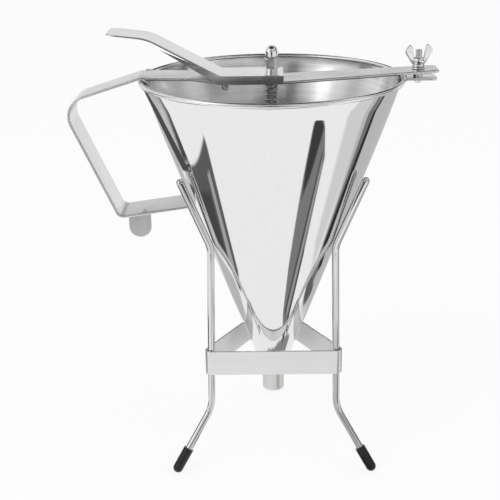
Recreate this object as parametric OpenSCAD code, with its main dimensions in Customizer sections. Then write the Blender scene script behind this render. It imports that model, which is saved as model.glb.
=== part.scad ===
// Hand-held confectionery funnel with a lever-worked piston, standing in its three-legged wire stand.
// Lengths are in millimetres. Heights are measured from the floor. Plan positions are measured from
// the funnel's axis and shifted by axis_x, so that the origin lies under the middle of the whole object.
// The cross bar and handle lie along X, with the handle on the -X side.

/* [Funnel] */
// Outer diameter over the rolled rim
rim_d = 190; // [150:1:240]
// Height of the rolled rim's centre above the floor
rim_z = 299; // [260:1:340]
// Diameter of the rolled rim
bead_d = 3.6; // [3:0.1:5]
// Angle between the cone's wall and its axis
cone_angle = 20.1; // [18:0.1:22]
// Thickness of the cone's sheet
cone_wall = 1; // [0.8:0.1:1.5]

/* [Outlet] */
// Outer diameter of the outlet bush
outlet_d = 17; // [14:0.5:24]
// Bore of the outlet
outlet_bore = 10; // [7:0.5:11]
// Length of the outlet below the end of the cone
outlet_len = 16.6; // [10:0.5:24]
// Chamfer round the outlet's lower edge
outlet_chamfer = 0.8; // [0.3:0.1:1]

/* [Strap] */
// Width of the handle strap and of the cross bar's wide part
strap_w = 32; // [26:1:40]
// Thickness of the strap
strap_t = 2; // [1.5:0.1:3]

/* [Handle] */
// Horizontal reach of the upper corner beyond the rim
handle_reach = 55; // [44:1:70]
// Drop of the upper corner below the rim
handle_drop = 14.6; // [8:0.2:24]
// Horizontal reach of the lower corner beyond the rim
grip_reach = 17.8; // [12:0.5:30]
// Drop of the lower corner below the rim
grip_drop = 98.8; // [80:0.2:120]
// Bend radius of the upper corner, on the strap's middle line
handle_bend_r = 15; // [8:1:24]
// Bend radius of the lower corner, on the strap's middle line
grip_bend_r = 6; // [4:1:12]
// Rise of the lower run towards the cone
grip_rise_angle = 8.1; // [2:0.1:14]
// Length of the lip that hooks inside the rim
lip_len = 5.5; // [3:0.5:8]
// Slope of that lip below the horizontal
lip_angle = 40; // [30:1:60]

/* [Rest tab] */
// Width of the tab under the grip
tab_w = 16.8; // [12:0.5:24]
// Length of that tab below the strap
tab_len = 21.6; // [14:0.5:32]
// Thickness of the tab
tab_t = 2; // [1.5:0.1:3]
// Distance of the tab's middle from the lower corner
tab_offset = 13.2; // [11:0.5:20]

/* [Cross bar] */
// Height of the bar's top above the rim's centre, at the bend left of the lever
bar_bend_rise = 3.2; // [1:0.1:4]
// The same under the lever
bar_mid_rise = 0.3; // [-1:0.1:2]
// The same at the clamped end
bar_end_rise = 6.1; // [5:0.1:10]
// Where the bar bends left of the lever
bar_bend_x = -56; // [-64:1:-50]
// Width of the clamped end
bar_end_w = 21; // [16:1:30]
// Where the bar starts to taper
bar_taper_x = 30; // [14:1:50]
// Length of the bar beyond the rim
bar_overhang = 22.8; // [16:0.2:28]
// Radius of the end's corners
bar_corner_r = 3; // [1:0.5:6]

/* [Clamp] */
// Distance of the clamp stud beyond the rim
stud_reach = 9.1; // [7:0.1:12]
// Diameter of the stud
stud_d = 5; // [4:0.5:6]
// Height of the stud's end above the bar
stud_top = 13.7; // [12:0.1:20]
// Width of the welded lug
lug_w = 18; // [14:1:26]
// Thickness of the lug
lug_t = 2.2; // [1.6:0.1:3]
// Height of the lug's top above the rim's centre
lug_rise = 0.4; // [0:0.1:1.4]
// Diameter of the spacer between lug and bar
spacer_d = 7; // [6.4:0.2:9]
// Diameter of the washer
washer_d = 9.6; // [8.6:0.2:12]
// Thickness of the washer
washer_t = 1; // [0.6:0.1:1.5]
// Diameter of the wing nut's base ring
wing_base_d = 9; // [8:0.2:11]
// Height of the wing nut's hub
wing_hub_h = 6.6; // [5:0.2:9]
// Half of the span over the wings
wing_reach = 10.2; // [8:0.2:14]
// Height of the wings above the nut's base
wing_h = 15.5; // [12:0.5:20]
// Thickness of the wings
wing_t = 2.2; // [1.6:0.1:3]
// Turn of the wings about the stud at rest
wing_turn = 15; // [0:1:180]

/* [Lever] */
// Thickness of the lever's sheet
lever_t = 1.2; // [1:0.1:2]
// Clearance between the bar and each side wall
lever_gap = 0.3; // [0.2:0.05:0.6]
// Height of the lever's top above the bar
lever_rise = 4.3; // [3.8:0.1:6]
// Height of the side walls, top included
lever_wall_h = 6.1; // [5:0.1:8]
// Where the lever bends upwards
lever_bend_x = -36; // [-46:1:-28]
// Right-hand end of the lever
lever_end_x = 8.3; // [7:0.1:12]
// Slope of the lever's long arm
lever_slope = 27.9; // [15:0.5:35]
// Where the long arm turns into the thumb pad
pad_x = -86.4; // [-95:0.2:-75]
// End of the thumb pad
lever_tip_x = -115; // [-130:1:-104]
// Slope of the thumb pad
pad_slope = 6.5; // [0:0.5:10]
// Where the side walls run out
wall_start_x = -78; // [-82:1:-60]
// Height of the side walls there
wall_start_h = 3.2; // [2:0.1:5]
// Radius of the pad's corners
pad_corner_r = 7; // [3:0.5:12]
// Place of the pivot pin
pivot_x = -9; // [-14:0.5:-7]
// Diameter of the pivot pin
pin_d = 3; // [2.5:0.1:4]
// Depth of the groove that seats the pin in the bar
pin_groove = 1; // [0.5:0.1:1.2]
// Angle through which the lever is pressed
lever_travel = 6; // [2:0.5:6]

/* [Stop screw] */
// Place of the stop screw
stop_x = -33.4; // [-40:0.2:-26]
// Diameter of the stop screw
stop_d = 5; // [4:0.5:6]
// Length of the stop screw below the bar
stop_drop = 7; // [4:0.5:10]
// Width over the flats of its nut
stop_nut_w = 8; // [7:0.5:10]
// Height of its nut
stop_nut_h = 2.6; // [2:0.1:4]

/* [Piston] */
// Diameter of the piston rod
rod_d = 6; // [5:0.5:7]
// Radial running clearance of the rod in the bar
rod_clearance = 0.08; // [0.02:0.01:0.1]
// Gap between the valve and its seat
valve_gap = 0.25; // [0.2:0.05:0.4]
// Height of the valve's cone
valve_h = 9; // [6:0.5:14]
// Diameter of the collar under the cap nut
collar_d = 8.8; // [8.4:0.2:11]
// Height of that collar
collar_h = 2.1; // [1.5:0.1:3]
// Width over the flats of the cap nut
cap_nut_w = 10; // [9:0.5:12]
// Height of its hexagon
cap_hex_h = 6.8; // [5:0.2:8]
// Diameter of its dome
cap_dome_d = 8.6; // [8:0.1:10]
// Height of its dome above the hexagon
cap_dome_h = 8.9; // [7:0.1:12]

/* [Spring] */
// Wire diameter of the spring
spring_wire = 1.3; // [0.8:0.1:1.6]
// Outer diameter of the spring
spring_od = 9.8; // [9:0.1:12]
// Number of free turns
spring_turns = 10; // [6:1:16]
// Length of the spring at rest
spring_len = 46; // [36:1:60]
// Diameter of the collar that carries the spring
spring_collar_d = 12; // [10:0.5:16]
// Height of that collar
spring_collar_h = 5; // [3:0.5:8]
// Diameter of the pin through that collar
collar_pin_d = 2; // [1.5:0.1:2.5]

/* [Stand] */
// Diameter of the leg wire
wire_d = 5.5; // [4:0.1:6]
// Gap between the cone and the wires that carry it
rest_gap = 0.25; // [0.2:0.05:0.4]
// Height of the upper bend
upper_bend_z = 180; // [150:1:200]
// Height of the arms' ends
arm_top_z = 233; // [215:1:250]
// Slope of the arms from the vertical
arm_angle = 23; // [21:0.5:28]
// How much further out the leg is at its lower bend than at its upper one
leg_splay = 2.9; // [0:0.1:6]
// Height of the lower bend
lower_bend_z = 48; // [36:1:60]
// Slope of the feet from the vertical
foot_angle = 34.8; // [20:0.1:40]
// Bend radius of the wire, on its middle line
wire_bend_r = 11; // [8:1:16]
// Height of the triangular band
band_h = 19.5; // [12:0.5:30]
// Thickness of the band
band_t = 1.5; // [1:0.1:2.5]
// Height of the band's lower edge
band_z = 78; // [66:0.2:90]
// Gap between a leg and the band's corner
weld_gap = 0.1; // [0.05:0.05:0.3]
// Outer diameter of the foot caps
cap_d = 7.8; // [7:0.1:10]
// Length of the foot caps
cap_len = 21; // [14:0.5:30]
// Depth of the flat that a foot cap stands on
cap_flat = 0.4; // [0.3:0.1:1]

/* [Hidden] */
$fn = 72;

// Finishes as plain colours
POLISHED = [0.86, 0.87, 0.88];
SATIN = [0.78, 0.78, 0.78];
RUBBER = [0.16, 0.16, 0.17];

// Cone
rim_r = rim_d / 2;
bead_r = bead_d / 2;
cone_top_r = rim_r - bead_r;
cone_slope = tan(cone_angle);
apex_z = rim_z - cone_top_r / cone_slope;
function cone_r(z) = (z - apex_z) * cone_slope;
wall_r = cone_wall / cos(cone_angle);

// Outlet and valve
outlet_r = outlet_d / 2;
cone_end_z = apex_z + outlet_r / cone_slope;
outlet_z = cone_end_z - outlet_len;
seat_top_r = outlet_r - wall_r;
seat_depth = (seat_top_r - outlet_bore / 2) / cone_slope;
valve_step_r = valve_gap / cos(cone_angle);
valve_z = cone_end_z - seat_depth + 1.5;
valve_shoulder_h = 4;

// Strap: its middle line passes round the rim and out to the handle's corners
strap_half = strap_t / 2;
hook_gap = 0.1;
hook_r = bead_r + hook_gap + strap_half;
rim_left = [-cone_top_r, rim_z];
rim_inset = cone_top_r - sqrt(pow(cone_top_r, 2) - pow(strap_w / 2, 2));
upper_corner = [-rim_r - handle_reach, rim_z - handle_drop];
lower_corner = [-rim_r - grip_reach, rim_z - grip_drop];
to_rim = rim_left - upper_corner;
top_run_angle = atan2(to_rim[1], to_rim[0]) + asin(hook_r / norm(to_rim));
grip_run_len = -lower_corner[0];
bend_step = 6;

// Cross bar: its top line, from the left rim to the clamped end
bar_end_x = rim_r + bar_overhang;
bar_flat_x0 = lever_bend_x;
bar_flat_x1 = lever_end_x;
bar_top_z = rim_z + bar_mid_rise;
bar_end_slope = (bar_end_rise - bar_mid_rise) / (bar_end_x - bar_flat_x1);
stud_x = rim_r + stud_reach;
function right_bar_z(x) = bar_top_z + (x - bar_flat_x1) * bar_end_slope;
fit_gap = 0.1;

// Lug and clamp
lug_top_z = rim_z + lug_rise;
lug_end_x = bar_end_x - 0.8;
spacer_top_z = right_bar_z(stud_x - spacer_d / 2) - strap_t - fit_gap;
washer_z = right_bar_z(stud_x + washer_d / 2) + fit_gap;
wing_z = washer_z + washer_t + 0.05;
stud_z0 = lug_top_z - lug_t - 3;
stud_z1 = right_bar_z(stud_x) + stud_top;
thread_gap = 0.08;

// Lever: the pin lies in a groove of the bar, and the side walls straddle the bar
lever_w = strap_w + 2 * (lever_gap + lever_t);
lever_top_z = bar_top_z + lever_rise;
pivot_z = bar_top_z - pin_groove + pin_d / 2 + 0.05;
pin_gap = 0.05;
pin_head_d = pin_d + 1.2;
pin_head_t = 0.6;

// Lift of the rod: the collar's far edge rides on the tilting lever
collar_gap = 0.03;
lift_arm = collar_d / 2 - pivot_x;
lift_height = lever_top_z - pivot_z;
rod_lift = lift_height * (1 / cos(lever_travel) - 1) + lift_arm * tan(lever_travel);

// Piston
collar_z = lever_top_z + collar_gap;
cap_z = collar_z + collar_h + 0.5;
rod_top_z = cap_z + cap_hex_h + 4;
rod_z = valve_z + 3;
bar_hole_r = rod_d / 2 + rod_clearance;
lever_hole_d = rod_d + 1.8;
spring_washer_z = bar_top_z - strap_t - washer_t;
spring_r = (spring_od - spring_wire) / 2;
spring_low_z = spring_washer_z - spring_len;

// Stop screw
stop_top_z = bar_top_z + 0.1;
stop_low_z = bar_top_z - strap_t - stop_drop;

// Stand: the wire's inner side touches the cone where it runs parallel to the wall
wire_r = wire_d / 2;
leg_lean = atan(leg_splay / (upper_bend_z - lower_bend_z));
upper_half_turn = (arm_angle + leg_lean) / 2;
touch_step = wire_bend_r * tan(upper_half_turn);
touch_dr = touch_step * sin(leg_lean) + wire_bend_r * (cos(leg_lean) - cos(cone_angle));
touch_dz = -touch_step * cos(leg_lean) + wire_bend_r * (sin(leg_lean) + sin(cone_angle));
upper_bend_r = cone_r(upper_bend_z + touch_dz) + (wire_r + rest_gap) / cos(cone_angle) - touch_dr;
lower_bend_r = upper_bend_r + leg_splay;
arm_end = [upper_bend_r + (arm_top_z - upper_bend_z) * tan(arm_angle), arm_top_z];
cap_r = cap_d / 2;
foot_end_z = cap_r - cap_flat;
foot_end = [lower_bend_r + (lower_bend_z - foot_end_z) * tan(foot_angle), foot_end_z];
leg_line = [arm_end, [upper_bend_r, upper_bend_z], [lower_bend_r, lower_bend_z], foot_end];
cap_wall_end = 1.5;
run_overlap = 0.4;
bend_swell = 0.02;
LEG_TURN = [-150, -30, 90];

// Band: its corners wrap round the legs
band_mid_z = band_z + band_h / 2;
band_leg_r = upper_bend_r + leg_splay * (upper_bend_z - band_mid_z) / (upper_bend_z - lower_bend_z);
band_inner_r = wire_r + weld_gap + band_h / 2 * tan(leg_lean);

// Middle of the object in plan
axis_x = -(handle_left_x() + bar_end_x) / 2;

// Plane geometry of bent strips
function unit(v) = v / norm(v);
function polar(r, a) = r * [cos(a), sin(a)];
function heading(a, b) = atan2(b[1] - a[1], b[0] - a[0]);
function turn_of(a, b, c) = let (t = heading(b, c) - heading(a, b)) t > 180 ? t - 360 : t < -180 ? t + 360 : t;

// Arc that rounds corner b between a and c
function corner_arc(a, b, c, r) =
    let (
        t = turn_of(a, b, c),
        start = b - unit(b - a) * r * tan(abs(t) / 2),
        side = t > 0 ? 90 : -90,
        centre = start + polar(r, heading(a, b) + side),
        steps = max(2, ceil(abs(t) / bend_step))
    )
    [for (i = [0 : steps]) centre + polar(r, heading(a, b) - side + t * i / steps)];

// Polyline with its inner corners rounded
function rounded(pts, radii) =
    [pts[0],
     for (i = [1 : len(pts) - 2]) each corner_arc(pts[i - 1], pts[i], pts[i + 1], radii[i - 1]),
     pts[len(pts) - 1]];

// Points of a line moved sideways by d, mitred at each bend
function side_line(pts, d) =
    [for (i = [0 : len(pts) - 1])
        let (
            before = i == 0 ? pts[1] - pts[0] : pts[i] - pts[i - 1],
            after = i == len(pts) - 1 ? before : pts[i + 1] - pts[i],
            n0 = [-before[1], before[0]] / norm(before),
            n1 = [-after[1], after[0]] / norm(after)
        )
        pts[i] + d * (n0 + n1) / (1 + n0 * n1)];

function reversed(v) = [for (i = [len(v) - 1 : -1 : 0]) v[i]];

// Outline of a strip of thickness t whose middle line is pts
function strip(pts, t) = concat(side_line(pts, t / 2), reversed(side_line(pts, -t / 2)));

// Middle line of the strap's hook. The rim curves inwards over the strap's width by rim_inset, so
// the hook runs straight for that much over the rim before its lip turns down
function hook_line() =
    let (
        inner = rim_left + [rim_inset, 0],
        steps = ceil(lip_angle / bend_step),
        outer_steps = ceil(top_run_angle / bend_step),
        lip_heading = -lip_angle
    )
    concat([inner + polar(hook_r, 90 - lip_angle) + polar(lip_len, lip_heading)],
           [for (i = [0 : steps]) inner + polar(hook_r, 90 - lip_angle * (1 - i / steps))],
           [for (i = [0 : outer_steps]) rim_left + polar(hook_r, 90 + top_run_angle * i / outer_steps)]);

function strap_line() =
    let (
        hook = hook_line(),
        grip_end = lower_corner + grip_run_len * [1, tan(grip_rise_angle)],
        rest = rounded([hook[len(hook) - 1], upper_corner, lower_corner, grip_end],
                       [handle_bend_r, grip_bend_r])
    )
    concat(hook, [for (i = [1 : len(rest) - 1]) rest[i]]);

// Leftmost point of the strap, on the upper corner's bend
function handle_left_x() =
    let (
        grip_heading = heading(upper_corner, lower_corner),
        half_turn = (grip_heading + 180 - top_run_angle) / 2,
        start = upper_corner + polar(handle_bend_r * tan(half_turn), grip_heading),
        centre = start + polar(handle_bend_r, grip_heading + 90)
    )
    centre[0] - handle_bend_r - strap_half;

// Helix points of the spring, with a straight wire diameter at each end
SPRING_RINGS = 8;
SPRING_SIDES = 6;
function spring_line() =
    let (
        z0 = spring_washer_z,
        coil = spring_len - 2 * spring_wire,
        n = spring_turns * SPRING_RINGS
    )
    concat([[spring_r, 0, z0]],
           [for (i = [0 : n])
               let (a = 360 * i / SPRING_RINGS)
               [spring_r * cos(a), spring_r * sin(a), z0 - spring_wire - coil * i / n]],
           [[spring_r, 0, z0 - spring_len]]);

// Least gap between the spring's turns, wire to wire
spring_gap = let (p = spring_line(), m = len(p))
    min([for (i = [0 : m - 1 - SPRING_RINGS / 2]) for (j = [i + SPRING_RINGS / 2 : m - 1]) norm(p[i] - p[j])])
    - spring_wire;
echo(spring_gap = spring_gap);
echo(rod_lift = rod_lift, ratio = rod_lift / (lever_travel * PI / 180));
echo(axis_x = axis_x, pivot = [pivot_x + axis_x, pivot_z], apex_z = apex_z, outlet_z = outlet_z);
echo(stud_x = stud_x + axis_x, wing_z = wing_z, spring_top = spring_washer_z, foot_x = foot_end[0]);

// Moves a piece from the funnel's axis to its place over the origin
module placed() {
    translate([axis_x, 0, 0]) children();
}

// Extrudes an XZ outline across the bar, w wide and centred
module across(w) {
    rotate([90, 0, 0]) linear_extrude(w, center = true) children();
}

// Solid round bar of radius r and length h along Y
module cross_pin(r, h) {
    rotate([90, 0, 0]) cylinder(r = r, h = h, center = true);
}

// Cylinder with a small chamfer at its top
module chamfered_bar(r, h, c) {
    rotate_extrude() polygon([[0, 0], [r, 0], [r, h - c], [r - c, h], [0, h]]);
}

// Rod whose lower end is a shallow dome
module domed_below(r, z0, z1, dome) {
    steps = 8;
    rotate_extrude()
        polygon(concat([[0, z1], [r, z1]],
                       [for (i = [0 : steps])
                           let (a = 90 * i / steps)
                           [r * cos(a), z0 + dome * (1 - sin(a))]]));
}

// The cone's outer surface as a solid, from z0 to z1
module cone_solid(z0, z1) {
    translate([0, 0, z0]) cylinder(r1 = cone_r(z0), r2 = cone_r(z1), h = z1 - z0);
}

module funnel_cone() {
    color(POLISHED) placed()
        rotate_extrude($fn = 144)
            union() {
                polygon([[cone_r(cone_end_z), cone_end_z], [cone_top_r, rim_z],
                         [cone_top_r - wall_r, rim_z], [seat_top_r, cone_end_z]]);
                translate([cone_top_r, rim_z]) circle(bead_r);
            }
}

// Turned bush: the seat carries on the cone's inside down to the bore
module outlet_bush() {
    bore_r = outlet_bore / 2;
    color(SATIN) placed()
        rotate_extrude()
            polygon([[seat_top_r, cone_end_z], [outlet_r, cone_end_z],
                     [outlet_r, outlet_z + outlet_chamfer], [outlet_r - outlet_chamfer, outlet_z],
                     [bore_r + outlet_chamfer / 2, outlet_z], [bore_r, outlet_z + outlet_chamfer / 2],
                     [bore_r, cone_end_z - seat_depth]]);
}

module handle_strap() {
    grip_cut = 40;
    color(SATIN) placed()
        difference() {
            across(strap_w) polygon(strip(strap_line(), strap_t));
            cone_solid(lower_corner[1] - grip_cut / 2, lower_corner[1] + grip_cut);
        }
}

// Cross bar: bent strip, tapered in plan, with its end trimmed to the hook that it is welded to
module bar_side() {
    line = [[-cone_top_r, rim_z + hook_r],
            [bar_bend_x, rim_z + bar_bend_rise - strap_half],
            [bar_flat_x0, bar_top_z - strap_half],
            [bar_flat_x1, bar_top_z - strap_half],
            [bar_end_x, rim_z + bar_end_rise - strap_half]];
    difference() {
        polygon(strip(line, strap_t));
        polygon(strip(hook_line(), strap_t));
        polygon(concat(hook_line(), [rim_left]));
    }
}

module bar_plan() {
    half = strap_w / 2;
    end_half = bar_end_w / 2;
    outline = rounded([[bar_taper_x, half], [bar_end_x, end_half], [bar_end_x, -end_half],
                       [bar_taper_x, -half]],
                      [bar_corner_r, bar_corner_r]);
    polygon(concat([[-rim_r, half]], outline, [[-rim_r, -half]]));
}

module cross_bar() {
    color(SATIN) placed()
        difference() {
            intersection() {
                across(strap_w) bar_side();
                translate([0, 0, rim_z - 10]) linear_extrude(30) bar_plan();
            }
            translate([0, 0, rim_z - 10]) cylinder(r = bar_hole_r, h = 30);
            translate([stop_x, 0, rim_z - 10]) cylinder(r = stop_d / 2 + thread_gap, h = 30);
            translate([stud_x, 0, rim_z - 10]) cylinder(r = stud_d / 2 + 0.3, h = 30);
            translate([pivot_x, 0, pivot_z]) cross_pin(pin_d / 2 + pin_gap, strap_w + 2);
        }
}

// Rounded tab welded under the grip
module rest_tab() {
    mid_x = lower_corner[0] + tab_offset;
    run_z = lower_corner[1] + tab_offset * tan(grip_rise_angle);
    half = tab_w / 2;
    rise = half * tan(grip_rise_angle);
    low_z = run_z - strap_half - tab_len + half;
    color(SATIN) placed()
        across(tab_t)
            difference() {
                union() {
                    polygon([[mid_x - half, low_z], [mid_x + half, low_z],
                             [mid_x + half, run_z + rise], [mid_x - half, run_z - rise]]);
                    translate([mid_x, low_z]) circle(half);
                }
                polygon(strip(strap_line(), strap_t));
            }
}

// Lug welded to the outside of the rim
module clamp_lug() {
    corner = 4;
    half = lug_w / 2;
    color(SATIN) placed()
        difference() {
            translate([0, 0, lug_top_z - lug_t])
                linear_extrude(lug_t)
                    polygon(concat([[cone_top_r, half]],
                                   rounded([[cone_top_r + 4, half], [lug_end_x, half],
                                            [lug_end_x, -half], [cone_top_r + 4, -half]],
                                           [corner, corner]),
                                   [[cone_top_r, -half]]));
            rotate_extrude($fn = 144) translate([cone_top_r, rim_z]) circle(bead_r);
            cone_solid(rim_z - 10, rim_z + 10);
            translate([stud_x, 0, lug_top_z - 10]) cylinder(r = stud_d / 2 + 0.02, h = 20);
        }
}

module clamp_stud() {
    color(POLISHED) placed()
        translate([stud_x, 0, 0])
            union() {
                translate([0, 0, stud_z0 + 1])
                    chamfered_bar(stud_d / 2, stud_z1 - stud_z0 - 1, 0.6);
                domed_below(stud_d / 2 + 0.4, stud_z0, lug_top_z - lug_t, 1.6);
            }
}

module clamp_spacer() {
    color(POLISHED) placed()
        translate([stud_x, 0, lug_top_z])
            difference() {
                cylinder(d = spacer_d, h = spacer_top_z - lug_top_z);
                translate([0, 0, -1]) cylinder(r = stud_d / 2 + thread_gap, h = 20);
            }
}

module clamp_washer() {
    color(POLISHED) placed()
        translate([stud_x, 0, washer_z])
            difference() {
                cylinder(d = washer_d, h = washer_t);
                translate([0, 0, -1]) cylinder(r = stud_d / 2 + thread_gap, h = 20);
            }
}

// Wing nut: barrel hub on a base ring, with two swept wings
module wing_outline() {
    tip_r = 1.6;
    hub_r = wing_base_d / 2 - 0.6;
    polygon([[hub_r - 1.2, 1.2], [hub_r + 0.8, 1.6], [wing_reach - 0.4, wing_h * 0.62],
             [wing_reach, wing_h * 0.72], [wing_reach - 2 * tip_r + 0.6, wing_h - tip_r * 0.3],
             [wing_reach - 3 * tip_r + 0.2, wing_h - tip_r * 0.5],
             [hub_r - 0.6, wing_hub_h - 0.4]]);
    translate([wing_reach - tip_r, wing_h * 0.75]) circle(tip_r);
    translate([wing_reach - 2.4 * tip_r, wing_h - tip_r]) circle(tip_r);
}

module wing_nut() {
    base_h = 2.4;
    base_r = wing_base_d / 2;
    hub_r = base_r - 0.5;
    color(POLISHED) placed()
        translate([stud_x, 0, wing_z])
            difference() {
                union() {
                    rotate_extrude()
                        polygon([[0, 0], [base_r - 0.4, 0], [base_r, 0.4], [base_r, base_h - 0.5],
                                 [base_r - 0.5, base_h], [hub_r, base_h + 0.4],
                                 [hub_r, wing_hub_h - 1], [hub_r - 1, wing_hub_h], [0, wing_hub_h]]);
                    for (a = [0, 180])
                        rotate([0, 0, a + wing_turn]) across(wing_t) wing_outline();
                }
                translate([0, 0, -1]) cylinder(r = stud_d / 2 + thread_gap, h = wing_h + 2);
            }
}

module stop_screw() {
    color(POLISHED) placed()
        translate([stop_x, 0, 0]) domed_below(stop_d / 2, stop_low_z, stop_top_z, 1.4);
}

module stop_nut() {
    color(POLISHED) placed()
        translate([stop_x, 0, bar_top_z - strap_t - stop_nut_h - 0.02])
            difference() {
                cylinder(d = stop_nut_w / cos(30), h = stop_nut_h, $fn = 6);
                translate([0, 0, -1]) cylinder(r = stop_d / 2 + thread_gap, h = stop_nut_h + 2);
            }
}

module spring_washer() {
    color(POLISHED) placed()
        translate([0, 0, spring_washer_z])
            difference() {
                cylinder(d = spring_od + 2, h = washer_t);
                translate([0, 0, -1]) cylinder(r = rod_d / 2 + 0.3, h = washer_t + 2);
            }
}

// Coil spring swept along its helix
module return_spring() {
    pts = spring_line();
    m = len(pts);
    function tangent(i) = unit(pts[min(i + 1, m - 1)] - pts[max(i - 1, 0)]);
    function ring(i) =
        let (
            t = i == 0 || i == m - 1 ? [0, 0, -1] : tangent(i),
            out = unit([pts[i][0], pts[i][1], 0]),
            n = unit(out - (out * t) * t),
            b = cross(t, n)
        )
        [for (k = [0 : SPRING_SIDES - 1])
            pts[i] + spring_wire / 2 * (cos(360 * k / SPRING_SIDES) * n + sin(360 * k / SPRING_SIDES) * b)];
    s = SPRING_SIDES;
    points = [for (i = [0 : m - 1]) each ring(i)];
    sides = [for (i = [0 : m - 2]) for (k = [0 : s - 1])
                let (a = i * s + k, b = i * s + (k + 1) % s)
                each [[a, a + s, b + s], [a, b + s, b]]];
    first_cap = [for (k = [1 : s - 2]) [0, k, k + 1]];
    last = (m - 1) * s;
    last_cap = [for (k = [1 : s - 2]) [last, last + k + 1, last + k]];
    color(POLISHED) placed() polyhedron(points, concat(sides, first_cap, last_cap));
}

// Lever: folded channel with a flat, upswept thumb pad
function lever_line() =
    let (
        z0 = lever_top_z - lever_t / 2,
        z1 = z0 + (lever_bend_x - pad_x) * tan(lever_slope),
        z2 = z1 + (pad_x - lever_tip_x) * tan(pad_slope)
    )
    rounded([[lever_end_x, z0], [lever_bend_x, z0], [pad_x, z1], [lever_tip_x, z2]], [10, 36]);

module lever_wall_side() {
    low = lever_top_z - lever_wall_h;
    run = lever_bend_x - wall_start_x;
    top_z = lever_top_z + run * tan(lever_slope);
    low_start_z = top_z - wall_start_h;
    upper = [for (p = side_line(lever_line(), -lever_t / 2)) if (p[0] >= wall_start_x) p];
    polygon(concat([[lever_end_x, low]], upper, [[wall_start_x, low_start_z]],
                   [[lever_bend_x - 1.2, low]]));
}

module lever_plan() {
    half = lever_w / 2;
    polygon(rounded([[lever_end_x + 1, half], [lever_tip_x, half], [lever_tip_x, -half],
                     [lever_end_x + 1, -half]],
                    [pad_corner_r, pad_corner_r]));
}

module lever() {
    side_y = (lever_w - lever_t) / 2;
    color(SATIN) placed()
        difference() {
            intersection() {
                union() {
                    across(lever_w) polygon(strip(lever_line(), lever_t));
                    for (s = [-1, 1])
                        translate([0, s * side_y, 0]) across(lever_t) lever_wall_side();
                }
                translate([0, 0, rim_z - 10]) linear_extrude(80) lever_plan();
            }
            translate([0, 0, rim_z - 10]) cylinder(d = lever_hole_d, h = 30);
            translate([pivot_x, 0, pivot_z]) cross_pin(pin_d / 2 + 0.02, lever_w + 2);
        }
}

module lever_pin() {
    color(POLISHED) placed()
        translate([pivot_x, 0, pivot_z])
            union() {
                cross_pin(pin_d / 2, lever_w + 0.04);
                for (s = [-1, 1])
                    translate([0, s * (lever_w / 2 + pin_head_t / 2 + 0.02), 0])
                        cross_pin(pin_head_d / 2, pin_head_t);
            }
}

module piston_rod() {
    color(POLISHED) placed()
        difference() {
            translate([0, 0, rod_z]) chamfered_bar(rod_d / 2, rod_top_z - rod_z, 0.6);
            translate([0, 0, collar_pin_z()]) cross_pin(collar_pin_d / 2 + 0.02, rod_d + 2);
        }
}

// Valve: cone that closes on the outlet's seat, with a shoulder round the rod
module valve_plug() {
    low_r = cone_r(valve_z) - wall_r - valve_step_r;
    top_z = valve_z + valve_h;
    top_r = cone_r(top_z) - wall_r - valve_step_r;
    neck_r = rod_d / 2 + 1.2;
    color(SATIN) placed()
        difference() {
            rotate_extrude()
                polygon([[0, valve_z], [low_r - 0.5, valve_z],
                         [low_r + 0.5 * cone_slope, valve_z + 0.5], [top_r, top_z],
                         [top_r, top_z + 1.5], [neck_r, top_z + valve_shoulder_h],
                         [neck_r, top_z + valve_shoulder_h + 3], [0, top_z + valve_shoulder_h + 3]]);
            translate([0, 0, rod_z - 0.05]) cylinder(r = rod_d / 2 + 0.05, h = 40);
        }
}

// Cap nut: chamfered hexagon with a tall dome, threaded from below
module cap_nut() {
    dome_r = cap_dome_d / 2;
    across_corners = cap_nut_w / cos(30);
    color(POLISHED) placed()
        translate([0, 0, cap_z])
            difference() {
                union() {
                    intersection() {
                        cylinder(d = across_corners, h = cap_hex_h, $fn = 6);
                        rotate_extrude()
                            polygon([[0, 0], [cap_nut_w / 2, 0], [across_corners / 2, 0.7],
                                     [across_corners / 2, cap_hex_h - 0.7],
                                     [cap_nut_w / 2, cap_hex_h], [0, cap_hex_h]]);
                    }
                    rotate_extrude()
                        polygon(concat([[0, cap_hex_h - 1], [dome_r, cap_hex_h - 1]],
                                       [for (a = [0 : 6 : 90])
                                           [dome_r * cos(a),
                                            cap_hex_h + cap_dome_h - dome_r * (1 - sin(a))]]));
                }
                translate([0, 0, -1]) cylinder(r = rod_d / 2 + thread_gap, h = cap_hex_h + 5.5);
            }
}

module nut_collar() {
    color(POLISHED) placed()
        translate([0, 0, collar_z])
            difference() {
                cylinder(d = collar_d, h = collar_h);
                translate([0, 0, -1]) cylinder(r = rod_d / 2 + thread_gap, h = collar_h + 2);
            }
}

function collar_pin_z() = spring_low_z - spring_collar_h / 2;

module spring_collar() {
    color(POLISHED) placed()
        difference() {
            translate([0, 0, spring_low_z - spring_collar_h])
                cylinder(d = spring_collar_d, h = spring_collar_h);
            translate([0, 0, spring_low_z - spring_collar_h - 1])
                cylinder(r = rod_d / 2 + 0.05, h = spring_collar_h + 2);
            translate([0, 0, collar_pin_z()])
                cross_pin(collar_pin_d / 2 + 0.02, spring_collar_d + 2);
        }
}

module collar_pin() {
    color(POLISHED) placed()
        translate([0, 0, collar_pin_z()]) cross_pin(collar_pin_d / 2, spring_collar_d + 0.8);
}

// Triangular band with round corners, standing on edge
function band_outline(r) =
    [for (turn = LEG_TURN) for (i = [-5 : 5]) polar(band_leg_r, turn) + polar(r, turn + 12 * i)];

module stand_band() {
    color(SATIN) placed()
        translate([0, 0, band_z])
            linear_extrude(band_h)
                difference() {
                    polygon(band_outline(band_inner_r + band_t));
                    polygon(band_outline(band_inner_r));
                }
}

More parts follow.
